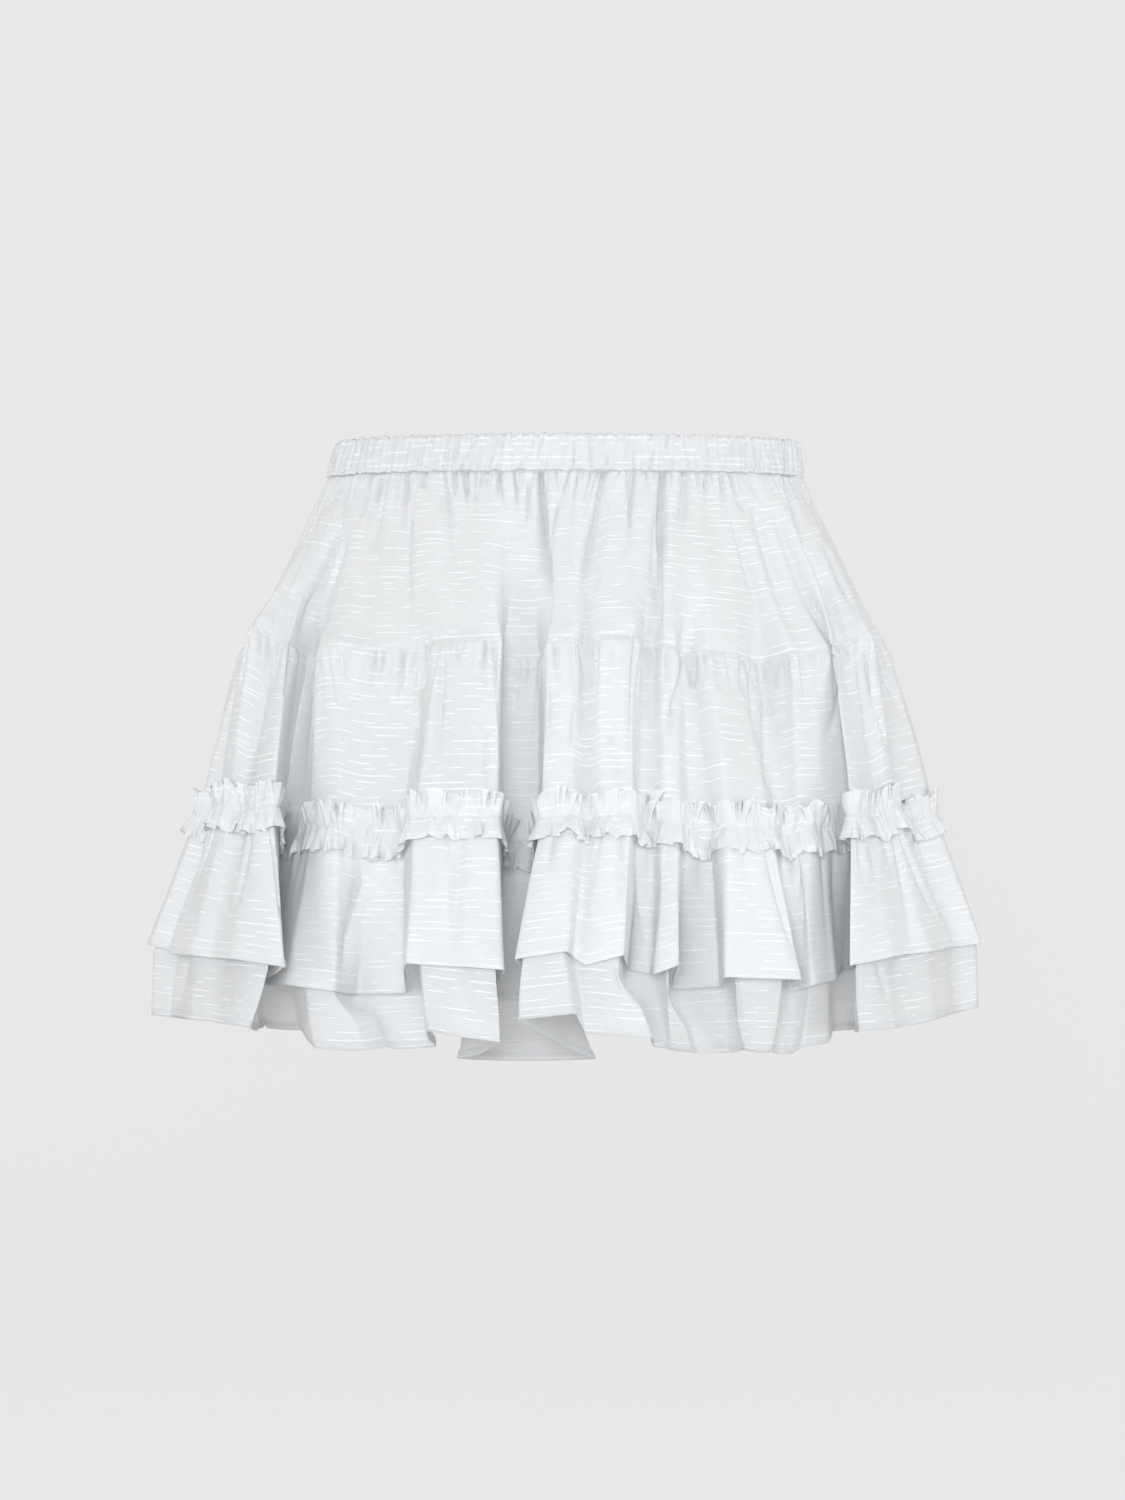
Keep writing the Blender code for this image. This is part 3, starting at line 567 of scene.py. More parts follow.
def under_surface(rings, folds, over, runs, cover_length, length):
    """The lower ruffle: inside the upper one's folds at first, then out to its own hem."""
    lower = rings["lower"]
    facing = surface_normals(over)
    hem_normals = smoothed(facing[-1], 4)
    at_hem = over[-1][:, :2] - hem_normals[:, :2] * NEST_HEM
    levels = []
    push = 0.0
    for row, run in enumerate(runs):
        swing = max(0.0, (run - SWING_START) / (length - SWING_START)) ** SWING_POWER
        if row < len(over):
            share = run / cover_length
            nest = NEST_TOP + (NEST_HEM - NEST_TOP) * share
            level = over[row] - smoothed(facing[row], 4) * nest
            free = level[:, :2] + (lower - at_hem) * swing
            ring = free
            for _ in range(RELAX_ROUNDS):
                gap = min(nest, NEST_LEAST) * 0.9
                ring = keep_inside(smoothed(ring, 2), over[row][:, :2], gap)
            push = ring - free
        else:
            free = at_hem + (lower - at_hem) * swing
            fade = max(0.0, 1 - (run - cover_length) / (length - cover_length) * 1.6)
            ring = free + smoothed(push, 3) * fade ** 2 * (3 - 2 * fade)
        levels.append(ring)
    longer = slack_at(folds, 1) / length
    return hang(levels, over[0][:, 2], np.diff(runs)[:, None] * (1 + longer))


def rows_between(first, last, fine, coarse, fine_until):
    """Runs of a sheet's rows: closely spaced near its top seam, wider further down."""
    close = np.arange(first, first + fine_until, fine)
    wide = np.linspace(first + fine_until, last, int(round((last - first - fine_until) / coarse)) + 1)
    return np.concatenate([close, wide])


def pinches(around, runs, gather, amount, seam_at=0.0):
    """Depth (rows, columns) of the pinches that one gathered seam leaves in a cloth."""
    spread = np.random.RandomState(gather.seed)
    total = around[-1] + around[1]
    count = int(total / gather.spacing)
    places = (np.arange(count) + spread.uniform(-PINCH_JITTER, PINCH_JITTER, count)) * total / count
    reaches = np.minimum(gather.reach * spread.lognormal(0.0, 0.8, count), gather.longest)
    depths = gather.depth * spread.uniform(*PINCH_DEPTHS, count) * (reaches / gather.reach) ** 0.3
    drifts = gather.drift * spread.normal(0.0, 1.0, count)
    below = np.abs(runs - seam_at)[:, None]
    depth = np.zeros((len(runs), len(around)))
    for place, reach, deep, drift in zip(places, reaches, depths, drifts):
        away = np.abs(around - place - drift * below)
        away = np.minimum(away, total - away)
        wide = gather.width + gather.widening * below
        fade = np.clip(1 - below / (reach * 2.2), 0, 1)
        fade = fade ** 2 * (3 - 2 * fade)
        depth += deep * fade * np.exp(1 - np.sqrt(1 + (away / wide) ** 2))
    if gather.opens:
        depth *= 1 - 0.8 * np.exp(-below / gather.opens)
    return (depth - depth.mean(1, keepdims=True)) * amount


def unevenness(around, runs, depth, seed, waves=14, longest=9, finest=42):
    """Soft low swells all over a cloth, so that no part of it is quite even."""
    spread = np.random.RandomState(seed)
    total = around[-1] + around[1]
    swell = np.zeros((len(runs), len(around)))
    for number in spread.randint(longest, finest, waves):
        lean = spread.uniform(-14, 14)
        start = spread.uniform(0, 2 * math.pi)
        down = spread.uniform(0, 2 * math.pi)
        slow = np.cos(runs * spread.uniform(10, 40) + down)[:, None]
        swell += np.cos(2 * math.pi * number * around / total + lean * runs[:, None] + start) * slow
    return swell * depth / math.sqrt(waves)


def crease_depth(piece, grid, folds, runs):
    """Depth of the listed creases of one piece."""
    travelled = np.cumsum(np.linalg.norm(np.roll(grid, -1, 1) - grid, axis=2), 1)
    depth = np.zeros(travelled.shape)
    rows = np.arange(len(runs))
    for crease in (Crease(*row) for row in CREASES[piece]):
        share = np.clip((runs / MM - crease.start) / (crease.stop - crease.start), 0, 1)
        place = np.interp(crease.at + (crease.ends_at - crease.at) * share, folds,
                          np.arange(len(folds)))
        column = np.minimum(place.astype(int), len(folds) - 2)
        before, after = travelled[rows, column], travelled[rows, column + 1]
        centre = before + (after - before) * (place - column)
        wide = crease.width * MM * (0.7 + 0.8 * share)
        away = np.abs(travelled - centre[:, None]) / wide[:, None]
        begins = 1.0 if crease.start < 3 else 0.0
        inside = np.clip(np.minimum(begins + share * 5, (1 - share) * 2.2), 0, 1)
        fade = inside ** 2 * (3 - 2 * inside)
        depth += crease.depth * MM * fade[:, None] * np.exp(1 - np.sqrt(1 + away ** 2))
    return depth


def side_seam_depth(grid, runs):
    """A narrow sewn groove down each side."""
    ring = grid[0]
    angle = np.arctan2(ring[:, 0], -ring[:, 1])
    depth = np.zeros(grid.shape[:2])
    for side in (-1, 1):
        column = int(np.abs(angle - side * math.pi / 2).argmin())
        steps = np.linalg.norm(np.diff(grid, axis=1, append=grid[:, :1]), axis=2)
        travelled = np.cumsum(steps, 1)
        away = np.abs(travelled - travelled[:, column:column + 1])
        depth += SIDE_SEAM_DEPTH * np.exp(-(away / SIDE_SEAM_WIDTH) ** 2)
    return depth


def seam_roll(runs, dip, puff, puff_at):
    """Cloth beside a seam: drawn in right at it, then puffed out a little below it."""
    return (dip * np.exp(-(runs / SEAM_DIP) ** 2)
            - puff * (runs / puff_at) * np.exp(1 - runs / puff_at))[:, None]


def straight_hem(grid, folds):
    """A ruffle whose hem runs nearly straight from each corner of a fold to the next."""
    place = travel(grid[-1])
    corners = np.searchsorted(folds, np.arange(0.0, folds[-1], 0.5))
    height = np.interp(place[:-1], place[corners], grid[-1][corners, 2], period=place[-1])
    height = smoothed(height[:, None], 3)[:, 0]
    height += (grid[-1][:, 2] - height) * HEM_SAG
    stretch = (height - grid[0][:, 2]) / (grid[-1][:, 2] - grid[0][:, 2])
    level = grid.copy()
    level[:, :, 2] = grid[0][:, 2] + (grid[:, :, 2] - grid[0][:, 2]) * stretch
    return level


def with_hem(grid, normals, runs, hem):
    """A cloth with its lower edge turned up inside: two folds and the stitched edge."""
    last, facing = grid[-1], normals[-1]
    up = grid[-1] - grid[-4]
    up /= -np.linalg.norm(up, axis=1)[:, None]
    rows, extra = [], []
    for rise, inside in ((-0.0002, 0.35), (0.0, 0.9), (0.0012, 1.0), (hem * 0.6, 1.0), (hem, 0.9)):
        rows.append(last + up * rise - facing * HEM_THICKNESS * inside)
        extra.append(runs[-1] + 0.0004 + abs(rise))
    return np.concatenate([grid, rows]), np.concatenate([runs, extra])


# ---- meshes ----
def new_piece(name, vertices, faces):
    """Smooth mesh object linked to the scene."""
    mesh = bpy.data.meshes.new(name)
    mesh.from_pydata(vertices.reshape(-1, 3).tolist(), [], faces.tolist())
    mesh.polygons.foreach_set("use_smooth", np.ones(len(mesh.polygons), bool))
    mesh.update()
    piece = bpy.data.objects.new(name, mesh)
    bpy.context.scene.collection.objects.link(piece)
    return piece


def closed_faces(rows, columns):
    """Faces of a grid that closes on itself, looking away from its hollow."""
    corner = np.arange(rows * columns).reshape(rows, columns)
    right = np.roll(corner, -1, 1)
    return np.stack([corner[:-1], corner[1:], right[1:], right[:-1]], -1).reshape(-1, 4)


def cloth_piece(name, grid, around, runs):
    """Sheet closed round the skirt, with the cloth's own metres as its UV map."""
    rows, columns, _ = grid.shape
    piece = new_piece(name, grid, closed_faces(rows, columns))
    total = around[-1] + around[1]
    left_u = np.broadcast_to(around, (rows - 1, columns))
    right_u = np.broadcast_to(np.append(around[1:], total), (rows - 1, columns))
    high = np.broadcast_to(runs[:-1, None], (rows - 1, columns))
    low = np.broadcast_to(runs[1:, None], (rows - 1, columns))
    place = np.stack([np.stack([left_u, left_u, right_u, right_u], -1),
                      np.stack([high, low, low, high], -1)], -1)
    piece.data.uv_layers.new(name="cloth").data.foreach_set("uv", place.reshape(-1).astype(np.float32))
    return piece


def stitch_line(name, path, facing, length, space):
    """Row of single stitches along a closed path: short threads with sunk ends."""
    travelled = travel(path)
    count = int(travelled[-1] / (length + space))
    pitch = travelled[-1] / count
    closed = np.concatenate([path, path[:1]])
    closed_facing = np.concatenate([facing, facing[:1]])
    starts = np.arange(count) * pitch

    def along(values, places):
        return np.column_stack([np.interp(places % travelled[-1], travelled, values[:, axis])
                                for axis in range(3)])

    sides = STITCH_SIDES
    rings = []
    for share, size, rise in ((0.0, 0.55, -STITCH_SINK), (0.5, 1.0, 0.0), (1.0, 0.55, -STITCH_SINK)):
        places = starts + share * (pitch - space)
        centre = along(closed, places)
        out = along(closed_facing, places)
        out /= np.linalg.norm(out, axis=1)[:, None]
        forward = along(closed, places + MM) - along(closed, places - MM)
        forward /= np.linalg.norm(forward, axis=1)[:, None]
        across = np.cross(out, forward)
        centre = centre + out * rise
        for side in range(sides):
            turn = 2 * math.pi * side / sides
            rings.append(centre + STITCH_RADIUS * size * (
                out * math.cos(turn) + across * math.sin(turn)))
    vertices = np.array(rings).transpose(1, 0, 2)
    faces = []
    for ring in range(2):
        for side in range(sides):
            following = (side + 1) % sides
            faces.append((ring * sides + side, ring * sides + following,
                          (ring + 1) * sides + following, (ring + 1) * sides + side))
    base = (np.arange(count) * 3 * sides)[:, None, None]
    return new_piece(name, vertices, (base + np.array(faces)).reshape(-1, 4))


# ---- materials ----
class Bench:
    """Adds nodes to a material and joins them up."""

    def __init__(self, material):
        self.tree = material.node_tree
        self.column = 0

    def node(self, kind, **settings):
        """New node, placed beside the last one."""
        node = self.tree.nodes.new(kind)
        node.location = (-200 * (self.column % 12), -260 * (self.column // 12))
        self.column += 1
        for key, value in settings.items():
            setattr(node, key, value)
        return node

    def feed(self, socket, value):
        """Join an output to a socket, or set the socket's own value."""
        if isinstance(value, bpy.types.NodeSocket):
            self.tree.links.new(value, socket)
        else:
            socket.default_value = value

    def maths(self, operation, *inputs):
        """Result of a sum on numbers or other results."""
        node = self.node("ShaderNodeMath", operation=operation)
        for socket, value in zip(node.inputs, inputs):
            self.feed(socket, value)
        return node.outputs[0]

    def ramp(self, value, low, high, out_low=0.0, out_high=1.0):
        """Soft step from one value to another."""
        node = self.node("ShaderNodeMapRange", interpolation_type="SMOOTHSTEP")
        for socket, number in zip(node.inputs, (value, low, high, out_low, out_high)):
            self.feed(socket, number)
        return node.outputs[0]

    def noise(self, x, y, detail=2.0):
        """Noise at two coordinates, from 0 to 1."""
        place = self.node("ShaderNodeCombineXYZ")
        self.feed(place.inputs[0], x)
        self.feed(place.inputs[1], y)
        node = self.node("ShaderNodeTexNoise", noise_dimensions="2D")
        self.feed(node.inputs["Vector"], place.outputs[0])
        node.inputs["Scale"].default_value = 1.0
        node.inputs["Detail"].default_value = detail
        return node.outputs[0]

    def grain(self, along, down, across_rate, down_rate, detail):
        """Noise with so many cells for each metre along and down the cloth."""
        return self.noise(self.maths("MULTIPLY", along, across_rate),
                          self.maths("MULTIPLY", down, down_rate), detail)

    def bump(self, shader, height, strength, distance):
        """Let a height stand out of a shader's surface."""
        node = self.node("ShaderNodeBump")
        node.inputs["Strength"].default_value = strength
        node.inputs["Distance"].default_value = distance
        self.feed(node.inputs["Height"], height)
        self.feed(shader.inputs["Normal"], node.outputs[0])

    def shaded(self, shader, colour, shade):
        """A shader's colour, made lighter or darker by a shade."""
        node = self.node("ShaderNodeVectorMath", operation="SCALE")
        node.inputs[0].default_value = colour
        self.feed(node.inputs["Scale"], shade)
        self.feed(shader.inputs["Base Color"], node.outputs[0])
        return node.outputs[0]


def new_material(name):
    """New material and its shader."""
    material = bpy.data.materials.new(name)
    material.use_nodes = True
    return material, material.node_tree.nodes["Principled BSDF"]


def slub_rows(bench, along, down, pitch, width, dash, cover, offset):
    """Broken raised threads that run across the cloth, one row per pitch."""
    wander = bench.maths("MULTIPLY", bench.noise(bench.maths("MULTIPLY", along, 9.0), offset), 0.5)
    line = bench.maths("ADD", bench.maths("DIVIDE", down, pitch), wander)
    row = bench.maths("FLOOR", line)
    chance = bench.node("ShaderNodeTexWhiteNoise", noise_dimensions="1D")
    bench.feed(chance.inputs["W"], bench.maths("ADD", row, offset))
    shift = bench.maths("MULTIPLY_ADD", chance.outputs["Value"], 0.5, 0.25)
    away = bench.maths("ABSOLUTE", bench.maths("SUBTRACT", bench.maths("FRACT", line), shift))
    profile = bench.ramp(away, 0.0, width, 1.0, 0.0)
    patch = bench.noise(bench.maths("DIVIDE", along, dash),
                        bench.maths("MULTIPLY_ADD", row, 3.71, offset))
    return bench.maths("MULTIPLY", profile, bench.ramp(patch, cover, cover + 0.10))


def cotton(name, cloth, seed, slub=1.0, light=1.0, backed=0.0):
    """White slub cotton: plain weave, raised threads across, soft colour changes; light below 1 greys the
    white as painted shade.
    """
    material, shader = new_material(name)
    bench = Bench(material)
    cut = bench.node("ShaderNodeUVMap", uv_map="cloth")
    parts = bench.node("ShaderNodeSeparateXYZ")
    bench.feed(parts.inputs[0], cut.outputs[0])
    along, down = parts.outputs[0], parts.outputs[1]

    thick = slub_rows(bench, along, down, cloth.slub_pitch, 0.17, 0.016, 0.48, seed)
    thin = slub_rows(bench, along, down, cloth.slub_pitch / 3, 0.28, 0.011, 0.46, seed + 5.3)
    warp = bench.grain(along, down, 2400.0, 260.0, 1.0)
    weft = bench.grain(along, down, 260.0, 2400.0, 1.0)
    weave = bench.maths("MULTIPLY", bench.maths("ADD", warp, weft), 0.5)
    crumple = bench.grain(along, down, 160.0, 110.0, 3.0)
    cloud = bench.grain(along, down, 14.0, 11.0, 3.0)

    height = bench.maths("MULTIPLY", thick, slub)
    height = bench.maths("MULTIPLY_ADD", thin, 0.30 * slub, height)
    height = bench.maths("MULTIPLY_ADD", weave, 0.35, height)
    height = bench.maths("MULTIPLY_ADD", crumple, 1.2, height)
    bench.bump(shader, height, 1.0, cloth.slub_height)

    shade = bench.ramp(cloud, 0.25, 0.75, 0.95, 0.98)
    shade = bench.maths("MULTIPLY", shade, bench.ramp(weave, 0.3, 0.7, 0.97, 1.0))
    shade = bench.maths("MULTIPLY_ADD", thick, 0.050 * slub, shade)
    shade = bench.maths("MULTIPLY_ADD", thin, 0.040 * slub, shade)
    # painted shade: light below 1 greys this piece's whole white a little, as if it lay in more shade
    # than the tiers
    colour = bench.shaded(shader, tuple(part * light for part in cloth.white), shade)
    bench.feed(shader.inputs["Roughness"], bench.ramp(weave, 0.2, 0.8, 0.80, 0.95))
    shader.inputs["Specular IOR Level"].default_value = 0.25
    shader.inputs["Sheen Weight"].default_value = cloth.sheen
    shader.inputs["Sheen Roughness"].default_value = 0.5
    glow = bench.node("ShaderNodeBsdfTranslucent")
    bench.feed(glow.inputs["Color"], colour)
    blend = bench.node("ShaderNodeMixShader")
    sheer = cloth.sheer * (1 - backed)
    bench.feed(blend.inputs[0], bench.maths("MULTIPLY_ADD", thick, -0.7 * sheer, sheer))
    bench.feed(blend.inputs[1], shader.outputs[0])
    bench.feed(blend.inputs[2], glow.outputs[0])
    bench.feed(material.node_tree.nodes["Material Output"].inputs["Surface"], blend.outputs[0])
    return material


def sewing_thread(cloth):
    """Twisted white thread of the stitches."""
    material, shader = new_material("sewing thread")
    bench = Bench(material)
    place = bench.node("ShaderNodeTexCoord")
    twist = bench.node("ShaderNodeTexWave", wave_type="BANDS", bands_direction="DIAGONAL")
    bench.feed(twist.inputs["Vector"], place.outputs["Object"])
    twist.inputs["Scale"].default_value = 900.0
    bench.bump(shader, twist.outputs[1], 0.6, 0.0001)
    bench.shaded(shader, tuple(cloth.thread), bench.ramp(twist.outputs[1], 0.0, 1.0, 0.9, 1.0))
    shader.inputs["Roughness"].default_value = 0.55
    shader.inputs["Sheen Weight"].default_value = 0.2
    return material


def finish_piece(piece, material, nodes):
    """Dress a sheet, let it ride on the frame and hide the frame's parts that it stands for."""
    piece.data.materials.append(material)
    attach(piece, "root")
    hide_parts(*nodes)


def add_stitches(scene, name, path, facing, length=STITCH_LENGTH, space=STITCH_SPACE):
    """Row of stitches that rides with the skirt.  All rows share one thread."""
    line = stitch_line(name, path, facing, length, space)
    thread = bpy.data.materials.get("sewing thread") or sewing_thread(scene.skirt_cotton)
    line.data.materials.append(thread)
    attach(line, "root")


def around_lengths(grid, row):
    """Place of each column along one row of a sheet, from its first column."""
    return travel(grid[row])[:-1]


# ---- operators ----
class SKIRT_OT_waistband(bpy.types.Operator):
    """Waistband: a casing shirred over elastic, stitched along its lower edge"""

    bl_idname = "skirt.waistband"
    bl_label = "Waistband"

    def execute(self, context):
        scene = context.scene
        cut = scene.skirt_cut
        ring = fold_rings(BAND_COLUMNS)[0]["waist"]
        tall = BAND_HIGH - BAND_LOW
        # share of the height and distance outwards, down the outside from the top edge
        outside = [(1.0, 0.0), (0.985, 0.9), (0.95, 1.25)]
        outside += [(share, 1.45) for share in np.linspace(0.90, 0.16, 15)]
        outside += [(0.12, 1.15), (0.085, 0.75), (0.055, 1.0), (0.02, 1.15), (0.0, 0.9)]
        inside = [(0.985, -0.9), (0.95, -1.25), (0.75, -1.4), (0.5, -1.4), (0.2, -1.2), (0.06, -0.8)]
        profile = inside[::-1] + outside
        runs = np.array([(1 - share) * tall for share, _ in profile])
        turned = np.cumsum(np.hypot(np.diff(runs, prepend=runs[0]),
                                    np.diff([out * MM for _, out in profile], prepend=0.0)))
        away = -inward(ring)
        flat = np.array([np.column_stack([
            ring + away * (out * MM - BAND_INSET + BAND_FLARE * (0.5 - share))
            + (BAND_LEAN * share, 0.0),
            np.full(len(ring), BAND_LOW + share * tall)]) for share, out in profile])
        around = around_lengths(flat, 0)
        depth = pinches(around, runs, BAND_TOP, cut.gathering)
        depth += pinches(around, runs, BAND_FOOT, cut.gathering, tall)
        depth += unevenness(around, runs, BAND_SWELL, 4, longest=40, finest=160)
        side = np.sign([out if out else 1.0 for _, out in profile])
        facing = np.column_stack([away, np.zeros(len(ring))])
        grid = flat - facing * (depth * side[:, None])[:, :, None]
        scallop = unevenness(around, np.zeros(1), BAND_SCALLOP, 5, longest=60, finest=140)[0]
        top = np.clip(1 - runs / (tall * 0.35), 0, 1)[:, None]
        low = np.clip(1 - (tall - runs) / (tall * 0.25), 0, 1)[:, None]
        pulled = unevenness(around, np.zeros(1), BAND_PULL, 6, longest=40, finest=110)[0]
        grid[:, :, 2] += scallop * top - np.abs(depth[len(inside)]) * 0.5 * top + pulled * low
        piece = cloth_piece("waistband_casing", grid, around, turned)
        finish_piece(piece, cotton("waistband cotton", scene.skirt_cotton, 3.1, slub=0.5),
                     ["waistband"])
        row = len(profile) - 4
        add_stitches(scene, "waistband_stitches", grid[row] + facing * STITCH_LIFT,
                     facing, length=0.0016, space=0.0008)
        return {"FINISHED"}


class SKIRT_OT_tiers(bpy.types.Operator):
    """Tiers: two lengths of cotton, each gathered into the edge above it"""

    bl_idname = "skirt.tiers"
    bl_label = "Tiers"

    def execute(self, context):
        scene = context.scene
        cut = scene.skirt_cut
        tiers = cut.upper_tier + cut.middle_tier
        rings, folds = fold_rings(COLUMNS)
        upper_runs = rows_between(0.0, cut.upper_tier, FINE_ROWS, COARSE_ROWS, 0.030)
        middle_runs = rows_between(cut.upper_tier, tiers, FINE_ROWS, COARSE_ROWS, 0.024)
        runs = np.concatenate([upper_runs, middle_runs[1:]])
        base = outer_surface(rings, folds, runs, cut)
        facing = surface_normals(base)
        for name, first, own_runs, length, gathers, seed in (
                ("upper_tier", 0, upper_runs, cut.upper_tier,
                 (WAIST_GATHER, WAIST_FINE, WAIST_FOLD), 3),
                ("middle_tier", len(upper_runs) - 1, middle_runs - cut.upper_tier,
                 cut.middle_tier, (TIER_GATHER, TIER_FINE, TIER_FOLD), 8)):
            span = slice(first, first + len(own_runs))
            grid, normals = base[span], facing[span]
            around = around_lengths(grid, 0)
            depth = sum(pinches(around, own_runs, gather, cut.gathering) for gather in gathers)
            depth += unevenness(around, own_runs, CLOTH_SWELL, seed)
            depth += crease_depth(name, grid, folds, own_runs)
            seam = around_lengths(grid, -1) if name == "upper_tier" else around
            to_seam = length - own_runs if name == "upper_tier" else own_runs
            depth *= 1 - SEAM_GRIP * np.exp(-(to_seam / SEAM_HOLDS) ** 2)[:, None]
            depth += pinches(seam, to_seam, TIER_EDGE, cut.gathering)
            depth += seam_roll(to_seam, 0.0004, 0.0002, 0.006)
            if name == "upper_tier":
                depth += seam_roll(own_runs, 0.0014, 0.0006, 0.005)
            depth += side_seam_depth(grid, own_runs)
            sheet = grid - normals * depth[:, :, None]
            piece = cloth_piece(name, sheet, around_lengths(grid, len(own_runs) // 2), own_runs)
            slot = "tier_upper" if name == "upper_tier" else "tier_middle"
            finish_piece(piece, cotton(name.replace("_", " ") + " cotton", scene.skirt_cotton, seed),
                         [slot + "_front", slot + "_back"])
        return {"FINISHED"}


class SKIRT_OT_ruffles(bpy.types.Operator):
    """Ruffles: a short one over a longer one, both with narrow turned hems"""

    bl_idname = "skirt.ruffles"
    bl_label = "Ruffles"

    def execute(self, context):
        scene = context.scene
        cut = scene.skirt_cut
        tiers = cut.upper_tier + cut.middle_tier
        rings, folds = fold_rings(COLUMNS)
        over_runs = np.linspace(0.0, cut.upper_ruffle, 39)
        lead = np.linspace(0.0, tiers, 60)
        whole = outer_surface(rings, folds, np.concatenate([lead, tiers + over_runs[1:]]), cut)
        over = straight_hem(whole[len(lead) - 1:], folds)
        below = np.linspace(cut.upper_ruffle, cut.lower_ruffle, 15)[1:]
        under_runs = np.concatenate([over_runs[::2], below])
        under = straight_hem(under_surface(rings, folds, over[::2], under_runs,
                                           cut.upper_ruffle, cut.lower_ruffle), folds)
        # the light values are painted shade: 0.98 and 0.97 grey the ruffles' white a little, as if they
        # lay in more shade
        for name, grid, runs, gathers, seed, slub, light, backed in (
                ("upper_ruffle", over, over_runs, (OVER_GATHER, OVER_FOLD), 15, 1.0, 0.98, 0.3),
                ("lower_ruffle", under, under_runs, (UNDER_FOLD,), 19, 1.5, 0.97, 0.0)):
            normals = surface_normals(grid)
            around = around_lengths(grid, 0)
            depth = sum(pinches(around, runs, gather, cut.gathering) for gather in gathers)
            depth += unevenness(around, runs, CLOTH_SWELL, seed, finest=70)
            depth += crease_depth(name, grid, folds, runs)
            depth += side_seam_depth(grid, runs)
            sheet = grid - normals * depth[:, :, None]
            normals = surface_normals(sheet)
            hemmed, all_runs = with_hem(sheet, normals, runs, cut.hem)
            piece = cloth_piece(name, hemmed, around_lengths(grid, len(runs) // 2), all_runs)
            slot = "ruffle_upper" if name == "upper_ruffle" else "ruffle_lower"
            finish_piece(piece, cotton(name.replace("_", " ") + " cotton", scene.skirt_cotton, seed,
                                       slub=slub, light=light, backed=backed),
                         [slot + "_front", slot + "_back"])
            share = (runs[-1] - cut.hem * 0.85 - runs[-3]) / (runs[-1] - runs[-3])
            line = sheet[-3] + (sheet[-1] - sheet[-3]) * share
            add_stitches(scene, name + "_hem_stitches", line + normals[-2] * STITCH_LIFT,
                         normals[-2])
        return {"FINISHED"}


class SKIRT_OT_strip(bpy.types.Operator):
    """Frilled strip: gathered along its middle and sewn over the top of the ruffles"""

    bl_idname = "skirt.strip"
    bl_label = "Frilled strip"

    def execute(self, context):
        scene = context.scene
        cut = scene.skirt_cut
        tiers = cut.upper_tier + cut.middle_tier
        rings, folds = fold_rings(STRIP_COLUMNS)
        half = cut.strip / 2
        shares = np.array([-1.0, -0.93, -0.85, -0.75, -0.63, -0.50, -0.36, -0.22, -0.10, -0.04,
                           0.04, 0.10, 0.22, 0.36, 0.50, 0.63, 0.75, 0.85, 0.93, 1.0])
        lead = np.linspace(0.0, tiers - half, 40)[:-1]
        base = outer_surface(rings, folds, np.concatenate([lead, tiers + shares * half]),
                             cut)[len(lead):]
        facing = surface_normals(base)
        around = around_lengths(base, len(shares) // 2)
        total = around[-1] + around[1]
        room = free_room(base[len(shares) // 2][:, :2])
        lift = np.clip(room / 2 - FRILL_CLEARANCE, LEAST_FRILL, cut.frill)
        lift = lift * fullness(around, total)
        size = lift / FULL_FRILL
        lines = np.where(shares[:, None] < 0,
                         pinches(around, shares * half, FRILL_UP, cut.gathering),
                         pinches(around, shares * half, FRILL_DOWN, cut.gathering))
        grid = base.copy()
        for row, share in enumerate(shares):
            away = smoothed(facing[row], STRIP_CALM)
            away /= np.linalg.norm(away, axis=1)[:, None]
            # the free edges bridge the sharp inner corners of the folds
            bridge = ((smoothed(base[row], STRIP_BRIDGE) - base[row]) * away).sum(1)
            out, sway, rise = frill(around, total, share)
            puff = 0.5 + 0.5 * (1 - (1 - abs(share)) ** 1.5)
            out = lift * puff + (out - lines[row]) * size + abs(share) * np.maximum(bridge, 0)
            grid[row] += away * (STRIP_LIES + out)[:, None]
            along = np.column_stack([-away[:, 1], away[:, 0], np.zeros(len(away))])
            grid[row] += along * (sway * size)[:, None]
            grid[row][:, 2] += rise * size
        piece = cloth_piece("frilled_strip", grid, around, (shares + 1) * half)
        # light=0.97 is painted shade: it greys the strip's white a little, as if it lay in more shade
        finish_piece(piece, cotton("strip cotton", scene.skirt_cotton, 27.0, slub=0.6,
                                   light=0.97, backed=0.3),
                     ["trim"])
        middle = len(shares) // 2
        line = (grid[middle - 1] + grid[middle]) / 2
        add_stitches(scene, "strip_stitches", line, facing[middle])
        return {"FINISHED"}


def free_room(ring):
    """Free distance in front of each point of a ring to another fold facing it."""
    sparse = ring[::4]
    steps = step_lengths(sparse)
    place = np.concatenate([[0.0], np.cumsum(steps)[:-1]])
    apart = np.abs(place[:, None] - place)
    apart = np.minimum(apart, steps.sum() - apart)
    offset = sparse[None] - sparse[:, None]
    outward = -inward(sparse)
    facing = (offset * outward[:, None]).sum(2) > 0
    opposed = outward @ outward.T < 0
    distance = np.linalg.norm(offset, axis=2)
    distance[~(facing & (opposed | (apart > 0.030)))] = 1.0
    free = distance.min(1)
    free = np.min([np.roll(free, shift) for shift in range(-4, 5)], 0)
    return smoothed(np.repeat(free, 4)[:len(ring)], 12)


def fullness(around, total):
    """How full the strip is round the skirt, about 1."""
    spread = np.random.RandomState(97)
    place = 2 * math.pi * around / total
    waves = [np.cos(place * number + spread.uniform(0, 2 * math.pi))
             for number in spread.randint(40, 160, 9)]
    return np.clip(1 + 0.10 * sum(waves), 0.6, 1.4)


